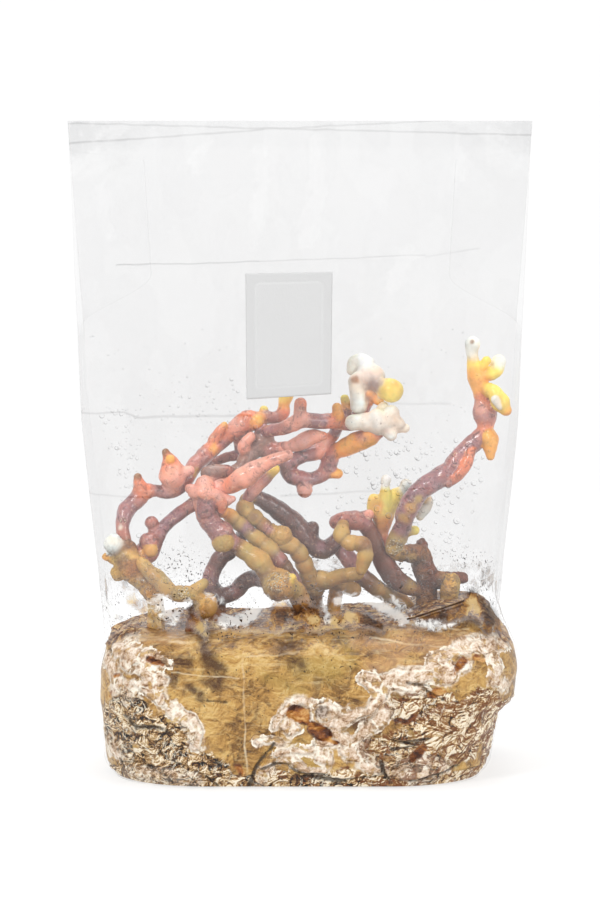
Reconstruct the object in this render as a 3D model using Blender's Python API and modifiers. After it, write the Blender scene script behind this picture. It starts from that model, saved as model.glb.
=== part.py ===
"""Reishi grow kit: a gusseted film bag with a filter patch, a sawdust block in it,
and the antlers that grow from the block, split at their main forks.

Metres, +Z up. The origin is under the middle of the bag, and the front faces -Y.
"""
import math

import bmesh
import bpy
from mathutils import Matrix, Vector, noise

MM = 0.001

# Driving sizes, in millimetres
BAG_HEIGHT = 350.0
SEAL_HALF_WIDTH = 125.0
SEAL_START = 335.0
GUSSET_FOLD = 40.0
FOLD_START = 238.0
FOLD_RUN = 30.0
SEAL_HALF_THICKNESS = 1.2
FILM_WALL = 0.6
AIR_GAP = 0.35

# Each panel leans in one plane between these heights
LEAN_START = 110.0
LEAN_START_DEPTH = 66.0
LEAN_END_DEPTH = 2.0

PATCH_WIDTH = 45.6
PATCH_HEIGHT = 65.5
PATCH_THICKNESS = 0.7
PATCH_CENTRE = (-6.0, 235.5)
PATCH_ROLL = math.radians(-1.9)
WELD_INSET = 5.2
WELD_WIDTH = 0.4
WELD_DEPTH = 0.2
WINDOW_WIDTH = 30.0
WINDOW_HEIGHT = 48.0
WINDOW_REACH = 30.0
WINDOW_CORNER = 3.0

BLOCK_TOP = 81.0
BLOCK_SLOPE = 0.03
BLOCK_CORNER = 43.0
BASE_CORNER = 62.0
CREASE_RADIUS = 0.8
PANEL_FLAT = 35.0
PANEL_EDGE_SHARE = 0.94
# How far each ring of the block's rounded brow stands in from its shoulder, and its share of the rise
BLOCK_BROW = [(4.0, 0.3), (11.0, 0.78), (22.0, 0.97), (48.0, 1.0)]

TUBE_RESOLUTION = 1
TUBE_SWELL = 1.05

# Height, left side, right side and half depth of the film round the block and above it
BAG_SHAPE = [
    (0.0, -98.0, 95.5, 71.0),
    (2.5, -102.5, 100.0, 74.0),
    (8.0, -105.5, 102.8, 75.2),
    (27.0, -106.5, 105.5, 75.8),
    (36.0, -107.0, 107.5, 75.8),
    (43.0, -108.2, 115.4, 76.0),
    (60.0, -107.4, 117.5, 75.7),
    (71.0, -104.4, 115.6, 74.4),
    (80.0, -105.0, 110.6, 73.0),
    (92.0, -105.6, 106.5, 70.0),
    (110.0, -107.5, 108.0, 66.0),
    (190.0, -116.0, 116.0, None),
    (238.0, -118.3, 118.3, None),
    (248.0, -118.9, 118.9, None),
    (260.0, -119.6, 119.6, None),
    (290.0, -121.5, 121.5, None),
    (322.0, -123.4, 123.4, None),
    (335.0, -124.0, 124.0, None),
    (340.0, -124.4, 124.4, None),
    (BAG_HEIGHT, -SEAL_HALF_WIDTH, SEAL_HALF_WIDTH, None),
]
CAVITY_TOP = 322.0
BLOCK_LEVELS = 8
PANEL_STEPS = 4
CORNER_STEPS = 3

# Each antler node is a list of limbs. A limb is a list of (x, y, z, radius) points in
# millimetres; a limb of one point is a knob.
ANTLERS = {
    "left_mound": [
        [(-76, -30, 66, 4.5), (-77, -30, 78, 4.5), (-77, -30, 88, 4.2), (-78, -30, 95, 4.4),
         (-81, -30, 100, 4.6), (-85, -30, 105.5, 5.4), (-92, -30, 114.5, 8), (-93, -30, 122, 5.5)],
        [(-97, -29.3, 109, 4.4)],
        [(-95, -30.6, 120, 5), (-100, -31.2, 125, 5.3)],
        [(-97, -29.6, 116, 4), (-103, -28.8, 117.5, 2.5)],
    ],
    "left_arch": [
        [(-93, -30, 118, 4.6), (-95, -28, 133, 3.8), (-94, -25, 139, 4.5), (-92, -22, 143, 4.9),
         (-87.6, -20, 147, 4.9), (-84, -19, 151, 4.9), (-78, -18, 152, 3.4), (-72, -16, 151, 3.7),
         (-66, -13, 153, 4.1), (-61, -10, 158, 4.3), (-57, -5, 164.4, 4.4), (-52, 0, 169, 4.7),
         (-47.5, 3, 173, 4.6), (-43, 5, 176, 3.9), (-38, 6, 180.6, 4.5), (-33, 6, 184.4, 5.9),
         (-28, 6, 187.5, 6.2), (-23.4, 8, 188, 4.9), (-18.5, 10, 189, 3.9), (-13.6, 12, 189, 3.5),
         (-9.3, 12, 191.6, 3.9), (-8.7, 12, 196.6, 3.3), (-7.6, 12, 201.5, 4.1)],
        [(-85, -20, 152, 4.4), (-86.5, -20, 157, 3), (-87, -20, 159.5, 2.4)],
        [(-69, -16, 153, 4.5), (-68.5, -18, 160, 7.3), (-70, -19, 167.6, 4.8), (-72, -19, 172.7, 2.3)],
        [(-67, -18, 161, 4), (-59, -18, 163, 2.6)],
        [(-46.4, 3, 177, 3.8), (-43, 2, 183, 2.8), (-41, 2, 186, 1.9)],
        [(-20, 11, 189, 3.4), (-19.7, 12, 193.4, 2.5)],
        [(-52, 6, 166, 2.6), (-47, 12, 165, 2.5), (-40, 13, 167.3, 2.7), (-33, 12, 169.5, 3.2),
         (-33, 9, 178, 3.6)],
    ],
    "inner_left_stem": [
        [(-88, -30, 114, 5), (-82, -25, 120, 6.2), (-77, -25, 127.6, 4.4), (-72, -20, 133.7, 3.6),
         (-67, -16, 138, 3.6), (-61, -14, 142, 3.6), (-55, -16, 146, 4)],
        [(-79, -25, 125, 3.4), (-79, -24, 132, 2.6), (-79.5, -24, 135, 3.8)],
    ],
    "hub_stem": [
        [(2.7, -15, 71, 6), (2, -15, 86, 5.4), (-0.3, -18, 94, 5.3), (-4, -22, 99.7, 5.5),
         (-11.8, -26, 103, 8), (-18, -26, 109, 4.9), (-21, -26, 114, 6.2), (-28, -24, 119, 5.3),
         (-33, -22, 122, 4.6), (-37, -22, 124.4, 4.6), (-41.6, -22, 128.7, 6.2),
         (-46, -22, 133.5, 5.6), (-49, -21, 137, 6), (-52, -21, 144, 5), (-51.6, -22, 150, 6.9),
         (-51, -22, 156.5, 4.4)],
        [(-52, -22, 151, 4), (-59, -22, 153.3, 3)],
        [(-47, -22, 148, 4.4), (-39.6, -24, 147.6, 3.6), (-36, -24, 148.2, 1.8)],
        [(-8, -28, 104, 4), (-4.3, -30, 106.3, 2.6)],
    ],
    "front_branch": [
        [(-49, -20, 151, 4), (-42, -20, 154, 4.6), (-37, -22, 155.6, 4.9), (-30, -24, 159.7, 5.8),
         (-23, -26, 164.7, 4.9), (-15.7, -28, 168.7, 3.6), (-9.6, -29, 171, 3.5),
         (-6.4, -30, 172.4, 3)],
    ],
    "dark_knob": [
        [(-51, -13, 154, 4.9), (-45, -8, 158, 4.6), (-40, -5, 159, 4.4), (-35, -3, 161, 4),
         (-31, -2, 164, 4.3), (-28.7, 0, 168.6, 4.9), (-24, 2, 173, 4.9), (-20, 3, 177, 6.4),
         (-20.4, 3, 182.5, 4.5)],
        [(-22, 2, 173, 4.6), (-13.6, 2, 172, 5.3), (-7.6, 0, 174.3, 3.4)],
        [(-29, -1, 170, 3.4), (-30.7, -4, 175, 3.3), (-26.5, -4, 180, 2.7)],
    ],
    "pink_branch": [
        [(-8, -1, 174.6, 3), (-5.6, -2, 174.6, 3.4), (0, -4, 176.6, 4.3), (5.7, -6, 179.5, 4.5),
         (10.2, -8, 180.5, 3.4), (12.4, -8, 180.7, 2.4)],
    ],
    "upper_run": [
        [(-18, -1, 182.6, 3.3), (-13.6, -7, 184, 3.5), (-9, -10, 185, 3.8), (-4, -10, 187.4, 4.3),
         (1, -10, 189.7, 4.4), (6.5, -8, 189, 4.1), (11.5, -6, 188.5, 4.1), (17, -4, 188.5, 4.3),
         (22.7, -2, 187.3, 3.8), (28, -2, 187, 4)],
        [(0, -10, 189, 3.8), (0, -11, 193.5, 3.7), (0.3, -12, 198.4, 3.4)],
        [(20.5, -4, 188, 3.8), (20.7, -5, 191.5, 3.6), (20, -6, 196, 2.8)],
        [(25, 0, 189, 3), (25.4, 3, 195.5, 3), (24.2, 4, 200, 2.5)],
    ],
    "loop_run": [
        [(20, 1, 184, 3.4), (18.3, 5, 180.3, 3.4), (14.2, 6, 176.6, 3.8), (10.2, 4, 171.5, 4.4),
         (4.8, 2, 170, 3.9), (0, 0, 168.6, 3.9), (-4.6, -2, 165.8, 4), (-7.2, -2, 162.6, 4.2),
         (-4.6, -2, 158.8, 4.6), (0.8, 0, 157, 4.6), (7, 2, 156.7, 3.9), (12.4, 3, 159, 4.2),
         (16, 3, 165, 4.7), (18.7, 2, 170.6, 4.1), (23.6, 0, 173.3, 5), (30.3, -4, 177, 5.6),
         (37, -8, 180.4, 5.3), (42, -10, 184, 4.5)],
        [(-11.6, 1, 170, 3.8), (-8, -1, 164.5, 3.8)],
        [(1.6, 0, 156, 4), (2.5, 0, 150.5, 4.5)],
        [(13, 3, 160, 3.4), (20.5, 2, 159.4, 3)],
    ],
    "lower_cap": [
        [(41.7, -12, 188.4, 9, 8, 6.2)],
        [(38, -11.4, 189, 4.8), (28.5, -11.8, 188.3, 4.4)],
        [(46, -12.6, 189.3, 4.6), (49, -12.3, 193.2, 4.6)],
        [(45, -12.9, 186.2, 4.4), (49, -13.2, 181.6, 3.4)],
        [(46, -11.6, 187.1, 4.7), (53, -11.1, 185.8, 3.6), (56.5, -10.8, 185.2, 2.6)],
        [(43, -9.2, 190.4, 4), (44.8, -6.3, 196, 3.3)],
    ],
    "upper_cap": [
        [(37.8, -2, 212, 8.2)],
        [(31, -2.6, 189, 4), (34, -2.3, 196, 4.4), (37, -1.6, 204, 4.8), (38, -1.3, 210, 5)],
        [(37, 0, 216, 5), (33, 1, 220, 5.2), (29, 1, 218.4, 3.4)],
        [(32, -6, 212, 4), (29.8, -8, 210.5, 4.2), (30.7, -8, 203, 4.3), (31.4, -8, 197, 4.6)],
        [(42, -6, 208, 4.4), (49.2, -10, 205.2, 6.7)],
        [(38, -4, 203, 3.4), (42.7, -5, 199.6, 2.8)],
    ],
    "right_antler": [
        [(50.5, 5, 118, 4), (52.7, 4, 123.5, 5.4), (55.4, 2, 129.6, 5), (56.6, 0, 133.5, 4.8),
         (57.3, -2, 138, 5.7), (60.6, -4, 144.5, 5.9), (64, -4, 149.5, 5.7), (69, -4, 153.7, 5.6),
         (76, -3, 158, 5.9), (82, -2, 162, 5.4), (87, -1, 169.5, 5.3), (93, 0, 175.4, 5.4),
         (97.7, 0, 179.5, 5.1), (100.5, 0, 185, 4.8), (100, 0, 193, 6.6), (98.6, 0, 200, 4.6),
         (97, 0, 206, 4.3), (95.4, 0, 212.4, 5.1), (94, 0, 218.7, 3.7), (93, 0, 225, 3.4),
         (93.2, 0, 230, 4.3)],
        [(97, 0, 215, 3), (100.6, -3, 221, 2.6)],
        [(97, 0, 213, 4), (105, 2, 214.5, 4.3), (107.6, 3, 220, 4)],
        [(99, -1, 206, 4), (104.6, -6, 204, 4.3), (108.3, -8, 198.4, 5.2), (111, -8, 194.6, 3.2)],
        [(101, -1, 182, 4.2), (102.8, -4, 179.3, 4.8), (102.8, -4, 174, 4.1), (103, -4, 169.6, 2.6)],
        [(65, 0, 148, 3.4), (69.8, 7, 144, 2.8), (67.3, 8, 139, 3.2), (65.4, 8, 135.5, 2.3)],
        [(58, 2, 128, 3), (62.7, 6, 128, 2.6)],
    ],
    "yellow_cluster": [
        [(45.3, 14, 117, 3.4), (45.3, 14, 122.6, 3.2), (44.8, 14, 127.4, 4.1), (45.3, 13, 133, 5.5),
         (46.6, 12, 139.6, 5.5), (46.5, 10, 148, 3.4), (46.5, 10, 152, 2.5), (47, 10, 155.4, 2.9)],
        [(43, 12, 136, 3.6), (39.8, 12, 139, 3.2), (40.6, 12, 144, 3.6)],
        [(49, 12, 140, 4), (51.5, 13, 145.7, 4.4), (55.7, 14, 149, 2.8), (58, 14, 152, 3.6)],
    ],
    "cross_stem": [
        [(19.6, 4, 132.6, 4.2), (23, 3, 134, 4.6), (28.8, 4, 133.6, 5.8), (34, 6, 132, 5),
         (37.4, 8, 128, 4.6), (40, 8, 123.4, 4.5), (42.4, 8, 117.6, 4.6), (44.7, 10, 112, 5.2),
         (48, 12, 106, 5.8), (52.4, 14, 100.5, 5.6), (58.4, 16, 96.4, 4.9), (64.8, 20, 93.4, 3.8),
         (71, 24, 90.5, 3.2), (76, 27, 80, 3)],
        [(33, 6, 134, 4.2), (37.5, 6, 136.6, 2.9)],
    ],
    "dark_arch": [
        [(-28, -2, 147, 3.8), (-24, 0, 146.7, 4.2), (-19, 2, 144, 4.6), (-13, 4, 140, 5.1),
         (-7, 5, 135, 5.6), (-2, 6, 131, 5.8), (2, 6, 125.4, 5.8), (6.5, 6, 120.4, 5.6),
         (11.4, 6, 117.7, 5.4), (16, 8, 118.6, 5.1), (20, 9, 122.3, 4.6), (23.5, 7, 127.3, 4.4)],
        [(6, 7, 123, 4), (6.8, 8, 129, 3.9)],
    ],
    "ochre_leg": [
        [(-29, -5, 145, 4.6), (-29.6, -8, 140.6, 5), (-24.4, -8, 136.3, 4.9), (-19, -8, 131.4, 4.6),
         (-14, -8, 127.7, 5), (-10.3, -8, 124.2, 6), (-5.4, -7, 121.5, 4.9), (-1.4, -6, 118, 4.9),
         (1, -4, 113.3, 4.6), (3.3, -2, 108, 4.9), (5.4, 2, 100.6, 5)],
    ],
    "under_branch": [
        [(-28, -7, 147, 3.4), (-23, -9, 154, 3.9), (-18, -10, 159, 3.8), (-13.5, -12, 163, 2.8)],
    ],
    "low_branch": [
        [(31.3, -6, 105.6, 3.6), (27, -5, 105, 4), (21.7, -3, 104, 4.1), (16, 0, 101.7, 4.6),
         (9.8, 4, 100, 6.2), (6.5, 8, 92, 5.8), (8, 12, 82, 6), (9, 14, 72, 6)],
        [(16, 4, 101, 3.8), (20.7, 10, 100.4, 3.8), (20, 12, 94.7, 4.1), (18.6, 14, 86.8, 4),
         (18, 14, 74, 4)],
        [(21, 9, 98, 3.4), (29.4, 8, 95.5, 4.4)],
    ],
    "worm_branch": [
        [(23.2, -3, 131, 4.2), (22.6, -8, 126.7, 4.3), (26.4, -10, 123, 4.3), (31.3, -11, 123, 4.3),
         (35, -12, 121.5, 4.4), (35.4, -12, 117, 4.3), (34, -12, 112, 4.1), (33, -12, 108.5, 3)],
    ],
    "low_right_stem": [
        [(20.4, 11, 119.6, 4), (23.4, 12, 115.6, 4.6), (27.8, 10, 110.3, 4.9), (31.5, 9, 105, 4.9),
         (36.5, 10, 100, 4.9), (42.5, 14, 95, 4.6), (50, 21, 90, 4.4), (56.5, 26, 86.6, 4),
         (62, 28, 80, 3.8)],
    ],
    "dark_loop": [
        [(-29.7, -4, 130, 3.6), (-32.6, 2, 124, 3.8), (-38, 4, 117, 4.3), (-42.6, 4, 114, 4.6),
         (-46, 4, 109, 4.6), (-48.5, 4, 103, 4.6), (-48.3, 4, 97, 5), (-44.5, 4, 93, 5),
         (-40, 4, 93, 4.6), (-35, 4, 95, 4.5), (-31, 2, 99.5, 4.6), (-26, 0, 102.3, 4.6),
         (-20, -8, 102.6, 4.6), (-16, -18, 103, 4.6)],
        [(-45.6, 5, 90, 4.6), (-45.6, 6, 84, 5), (-45, 6, 68, 5)],
    ],
    "ochre_long": [
        [(-45, -17, 141, 3.4), (-40, -13, 139.6, 3.6), (-34, -12, 134.4, 4.3), (-29.7, -12, 131, 3.9),
         (-23.5, -13, 125.6, 4.6), (-17, -14, 120, 4.9), (-12.6, -14, 115, 4.9),
         (-8.6, -12, 109.6, 4.9), (-5.4, -10, 104.3, 4.9), (-1, -10, 96.6, 4.8), (0, -13, 92, 4.6)],
    ],
    "left_low_stem": [
        [(-84.5, -35, 115, 3.4), (-79.6, -38, 110, 4.2), (-75, -40, 106.7, 4.5),
         (-71.3, -42, 102.5, 4.5), (-67, -42, 99.4, 4.2), (-61, -42, 99.3, 4.3), (-56, -41, 98.4, 4.4),
         (-52.6, -39, 94, 4.8), (-54.7, -38, 88, 4.8), (-56.6, -38, 80, 4.6), (-56, -38, 66, 5)],
        [(-57, -42, 100, 3.8), (-51, -42, 105, 2.7)],
    ],
    "right_rough": [
        [(52.5, 9, 115, 4.2), (60, 13, 114.6, 4.8), (66, 20, 112.4, 5.8), (67.4, 20, 106, 6),
         (70, 20, 100.4, 5.9), (69.7, 22, 92, 5.5), (69.7, 22, 76, 5.5)],
        [(66, 20, 113, 4.6), (67, 20, 118.5, 3.4)],
        [(70, 20, 101, 5), (75.7, 22, 98.8, 4.7), (82, 24, 99.4, 3.9), (89, 25, 99.4, 3.3)],
        [(80, 22, 98, 3.8), (83, 15, 99.7, 3.8), (82, 14, 95, 5.1), (82, 16, 87.7, 5),
         (82, 17, 76, 5)],
    ],
}

ANTLER_COLOURS = {
    "left_mound": (0.42, 0.26, 0.10),
    "left_arch": (0.55, 0.20, 0.13),
    "inner_left_stem": (0.24, 0.09, 0.08),
    "hub_stem": (0.42, 0.20, 0.10),
    "front_branch": (0.62, 0.20, 0.13),
    "dark_knob": (0.22, 0.12, 0.10),
    "pink_branch": (0.62, 0.20, 0.12),
    "upper_run": (0.40, 0.12, 0.09),
    "loop_run": (0.30, 0.10, 0.07),
    "lower_cap": (0.70, 0.64, 0.52),
    "upper_cap": (0.70, 0.62, 0.50),
    "right_antler": (0.33, 0.12, 0.08),
    "yellow_cluster": (0.74, 0.44, 0.07),
    "cross_stem": (0.18, 0.08, 0.06),
    "dark_arch": (0.12, 0.05, 0.05),
    "ochre_leg": (0.40, 0.24, 0.07),
    "under_branch": (0.40, 0.16, 0.10),
    "low_branch": (0.24, 0.12, 0.06),
    "worm_branch": (0.42, 0.24, 0.08),
    "low_right_stem": (0.17, 0.07, 0.06),
    "dark_loop": (0.12, 0.06, 0.06),
    "ochre_long": (0.42, 0.24, 0.07),
    "left_low_stem": (0.42, 0.24, 0.07),
    "right_rough": (0.24, 0.11, 0.06),
}


def clear_scene():
    """Remove whatever the file holds, so that the model starts empty."""
    for obj in list(bpy.data.objects):
        bpy.data.objects.remove(obj, do_unlink=True)


def new_collection(name):
    collection = bpy.data.collections.new(name)
    bpy.context.scene.collection.children.link(collection)
    return collection


def finish(name, colour, roughness, alpha=1.0):
    """A Principled material with one colour and roughness."""
    material = bpy.data.materials.new(name)
    material.use_nodes = True
    shader = material.node_tree.nodes["Principled BSDF"]
    shader.inputs["Base Color"].default_value = (*colour, 1.0)
    shader.inputs["Roughness"].default_value = roughness
    shader.inputs["Metallic"].default_value = 0.0
    shader.inputs["Alpha"].default_value = alpha
    return material


def add_object(name, mesh, collection, material=None):
    obj = bpy.data.objects.new(name, mesh)
    collection.objects.link(obj)
    if material is not None:
        mesh.materials.clear()
        mesh.materials.append(material)
    return obj


def as_cutter(obj):
    obj.hide_render = True
    obj.display_type = "WIRE"
    return obj


def interpolate(x, xs, ys):
    """Straight-line interpolation in a rising list of xs, held at both ends."""
    if x <= xs[0]:
        return ys[0]
    for x0, x1, y0, y1 in zip(xs, xs[1:], ys, ys[1:]):
        if x <= x1:
            return y0 + (y1 - y0) * (x - x0) / (x1 - x0)
    return ys[-1]


def smooth_step(t):
    t = min(max(t, 0.0), 1.0)
    return t * t * (3.0 - 2.0 * t)


def panel_depth(z):
    """Half depth of the bag at its middle, where the panels lean together."""
    if z >= SEAL_START:
        return SEAL_HALF_THICKNESS
    share = (z - LEAN_START) / (SEAL_START - LEAN_START)
    return LEAN_START_DEPTH + (LEAN_END_DEPTH - LEAN_START_DEPTH) * share


def gusset_depth(z):
    """How far the side's middle folds in: the fold opens out above the antler tips."""
    if z > SEAL_START + 1.0:
        return 0.0
    return GUSSET_FOLD * smooth_step((z - FOLD_START) / FOLD_RUN)


def corner_radius(z):
    """Round corners on the block, which sharpen into the gusset creases above it."""
    heights = [0.0, 30.0, 80.0, 110.0, 190.0, FOLD_START, FOLD_START + 10.0]
    radii = [BASE_CORNER, BLOCK_CORNER, BLOCK_CORNER, 28.0, 9.0, 2.0, CREASE_RADIUS]
    return interpolate(z, heights, radii)


def bag_section(level, wall):
    """One horizontal section of the film, moved inward by wall millimetres."""
    z, left, right, depth = level
    if depth is None:
        depth = panel_depth(z)
    gusset = gusset_depth(z)
    edge_depth = depth * interpolate(z, [LEAN_START, FOLD_START], [1.0, PANEL_EDGE_SHARE])
    fold_wall = wall * (1.0 + 2.0 * smooth_step((z - FOLD_START) / 10.0))
    apex_shift = fold_wall * math.hypot(gusset, edge_depth) / edge_depth
    edge = edge_depth - wall
    middle = depth - wall
    radius = min(max(corner_radius(z) - wall, 0.4), 0.7 * edge)
    quarter = []
    for side_x in (right, left):
        sign = 1.0 if side_x > 0 else -1.0
        apex = abs(side_x) - gusset - apex_shift
        width = apex + gusset * edge / edge_depth
        points = []
        for i in range(PANEL_STEPS):
            x = (width - radius) * i / PANEL_STEPS
            bulge = 1.0 - (max(x - PANEL_FLAT, 0.0) / (width - PANEL_FLAT)) ** 2
            points.append((sign * x, edge + (middle - edge) * bulge))
        for i in range(CORNER_STEPS + 1):
            angle = math.radians(90.0 * i / CORNER_STEPS)
            points.append((sign * (width - radius + radius * math.sin(angle)),
                           edge - radius + radius * math.cos(angle)))
        start = edge - radius
        points.append((sign * (width + (apex - width) * 0.5), start * 0.5))
        points.append((sign * apex, 0.0))
        quarter.append(points)
    right_side, left_side = quarter
    front = [(x, -y) for x, y in right_side]
    back = [(x, y) for x, y in reversed(right_side[:-1])]
    back_left = [(x, y) for x, y in left_side[1:]]
    front_left = [(x, -y) for x, y in reversed(left_side[1:-1])]
    return [(x, y, z) for x, y in front + back + back_left + front_left]


def loft(sections):
    """Closed skin over sections of equal point count, with a flat cap at each end."""
    skin = bmesh.new()
    rings = [[skin.verts.new(Vector(point) * MM) for point in section] for section in sections]
    count = len(rings[0])
    for low, high in zip(rings, rings[1:]):
        for i in range(count):
            j = (i + 1) % count
            skin.faces.new((low[i], low[j], high[j], high[i]))
    skin.faces.new(tuple(reversed(rings[0])))
    skin.faces.new(tuple(rings[-1]))
    skin.normal_update()
    bmesh.ops.triangulate(skin, faces=skin.faces, quad_method="FIXED")
    bmesh.ops.recalc_face_normals(skin, faces=skin.faces)
    mesh = bpy.data.meshes.new("loft")
    skin.to_mesh(mesh)
    skin.free()
    return mesh


def evaluated_copy(obj):
    """The object's mesh as it shows, with its modifiers applied."""
    graph = bpy.context.evaluated_depsgraph_get()
    return bpy.data.meshes.new_from_object(obj.evaluated_get(graph))


def apply_boolean(obj, other, operation):
    """Join other to obj or cut it from obj, and keep the result as obj's mesh."""
    modifier = obj.modifiers.new(operation.title(), "BOOLEAN")
    modifier.operation = operation
    modifier.object = other
    modifier.solver = "EXACT"
    mesh = evaluated_copy(obj)
    obj.modifiers.clear()
    old = obj.data
    obj.data = mesh
    bpy.data.meshes.remove(old)


def remove_object(obj):
    mesh = obj.data
    bpy.data.objects.remove(obj, do_unlink=True)
    bpy.data.meshes.remove(mesh)


def block_surface_height(x, y):
    """Top of the block: it rises to the right, with low swells."""
    swell = noise.noise(Vector((x * 0.03, y * 0.03, 4.0)))
    return BLOCK_TOP + BLOCK_SLOPE * x + 2.0 * swell


def block_mesh(grow):
    """The block fills the film up to its shoulder, and its top swells and rises to the right."""
    clearance = FILM_WALL + AIR_GAP - grow
    sections = [bag_section(level, clearance) for level in BAG_SHAPE[:BLOCK_LEVELS]]
    sections[0] = [(x, y, clearance) for x, y, _ in sections[0]]
    shoulder = sections[-1]
    for inset, rise in BLOCK_BROW:
        ring = []
        for x, y, z in shoulder:
            scale = 1.0 - inset / math.hypot(x, y)
            top = block_surface_height(x * scale, y * scale) + grow
            ring.append((x * scale, y * scale, z + (top - z) * rise))
        sections.append(ring)
    return loft(sections)


def swept_limb(points, grow, collection):
    """A round limb through its points, with rounded ends, as a mesh object."""
    places = [Vector(point[:3]) for point in points]
    radii = [(point[3] + grow) * TUBE_SWELL for point in points]
    ends = []
    for end, inner, radius in ((places[0], places[1], radii[0]), (places[-1], places[-2], radii[-1])):
        outward = (end - inner).normalized()
        ends.append((end + outward * radius * 0.7, radius * 0.6))
    route = [ends[0]] + list(zip(places, radii)) + [ends[1]]
    curve = bpy.data.curves.new("limb", "CURVE")
    curve.dimensions = "3D"
    curve.bevel_depth = MM
    curve.bevel_resolution = TUBE_RESOLUTION
    curve.use_fill_caps = True
    spline = curve.splines.new("POLY")
    spline.points.add(len(route) - 1)
    for point, (place, radius) in zip(spline.points, route):
        point.co = (*(place * MM), 1.0)
        point.radius = radius
    tube = bpy.data.objects.new("limb", curve)
    collection.objects.link(tube)
    mesh = evaluated_copy(tube)
    bpy.data.objects.remove(tube, do_unlink=True)
    bpy.data.curves.remove(curve)
    welded = bmesh.new()
    welded.from_mesh(mesh)
    bmesh.ops.remove_doubles(welded, verts=welded.verts, dist=0.00001)
    bmesh.ops.recalc_face_normals(welded, faces=welded.faces)
    welded.to_mesh(mesh)
    welded.free()
    return add_object("limb", mesh, collection)


def knob(point, grow, collection):
    """A round knob, or an egg where the point gives three radii."""
    radii = point[3:] if len(point) > 4 else (point[3],) * 3
    ball = bmesh.new()
    bmesh.ops.create_icosphere(ball, subdivisions=2, radius=1.0)
    size = Matrix.Diagonal([(radius + grow) * MM for radius in radii]).to_4x4()
    bmesh.ops.transform(ball, matrix=Matrix.Translation(Vector(point[:3]) * MM) @ size, verts=ball.verts)
    mesh = bpy.data.meshes.new("knob")
    ball.to_mesh(mesh)
    ball.free()
    return add_object("knob", mesh, collection)


def limb_object(points, grow, collection):
    if len(points) == 1:
        return knob(points[0], grow, collection)
    return swept_limb(points, grow, collection)


def antler_object(name, grow, collection):
    """All the limbs of one antler node, joined in one skin."""
    limbs = ANTLERS[name]
    body = limb_object(limbs[0], grow, collection)
    body.name = name
    for points in limbs[1:]:
        limb = limb_object(points, grow, collection)
        apply_boolean(body, limb, "UNION")
        remove_object(limb)
    return body


def bounds(obj):
    corners = [obj.matrix_world @ vertex.co for vertex in obj.data.vertices]
    low = [min(corner[axis] for corner in corners) for axis in range(3)]
    high = [max(corner[axis] for corner in corners) for axis in range(3)]
    return low, high


def boxes_meet(first, second):
    (low_a, high_a), (low_b, high_b) = first, second
    return all(low_a[i] <= high_b[i] and low_b[i] <= high_a[i] for i in range(3))


def keep_main_body(obj):
    """Drop the slivers that a seat cut leaves loose: only the largest island stays."""
    skin = bmesh.new()
    skin.from_mesh(obj.data)
    skin.verts.ensure_lookup_table()
    left = set(skin.verts)
    islands = []
    while left:
        seed = left.pop()
        island = {seed}
        front = [seed]
        while front:
            vertex = front.pop()
            for edge in vertex.link_edges:
                other = edge.other_vert(vertex)
                if other in left:
                    left.discard(other)
                    island.add(other)
                    front.append(other)
        islands.append(island)
    islands.sort(key=len)
    loose = [vertex for island in islands[:-1] for vertex in island]
    bmesh.ops.delete(skin, geom=loose, context="VERTS")
    skin.to_mesh(obj.data)
    skin.free()


def shade(obj):
    obj.data.shade_smooth()
    obj.data.set_sharp_from_angle(angle=math.radians(40.0))


def build_bag(parts, cutters):
    film = finish("clear_film", (0.92, 0.93, 0.94), 0.12, 0.25)
    outer = loft([bag_section(level, 0.0) for level in BAG_SHAPE])
    bag = add_object("grow_bag", outer, parts, film)
    hollow_levels = [level for level in BAG_SHAPE if level[0] <= CAVITY_TOP]
    sections = [bag_section(level, FILM_WALL) for level in hollow_levels]
    sections[0] = [(x, y, FILM_WALL) for x, y, _ in sections[0]]
    hollow = as_cutter(add_object("bag_hollow", loft(sections), cutters))
    apply_boolean(bag, hollow, "DIFFERENCE")
    centre_x, centre_z = PATCH_CENTRE
    bpy.ops.mesh.primitive_cube_add(size=1.0)
    window = as_cutter(bpy.context.object)
    window.name = "filter_window"
    for owner in list(window.users_collection):
        owner.objects.unlink(window)
    cutters.objects.link(window)
    depth = panel_depth(centre_z)
    size = Matrix.Diagonal((WINDOW_WIDTH * MM, WINDOW_REACH * MM, WINDOW_HEIGHT * MM, 1.0))
    window.data.transform(size)
    window.location = Vector((centre_x, -depth, centre_z)) * MM
    rounding = window.modifiers.new("Round", "BEVEL")
    rounding.width = WINDOW_CORNER * MM
    rounding.segments = 2
    apply_boolean(bag, window, "DIFFERENCE")
    bag.data.materials.clear()
    bag.data.materials.append(film)
    shade(bag)
    return bag


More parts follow.
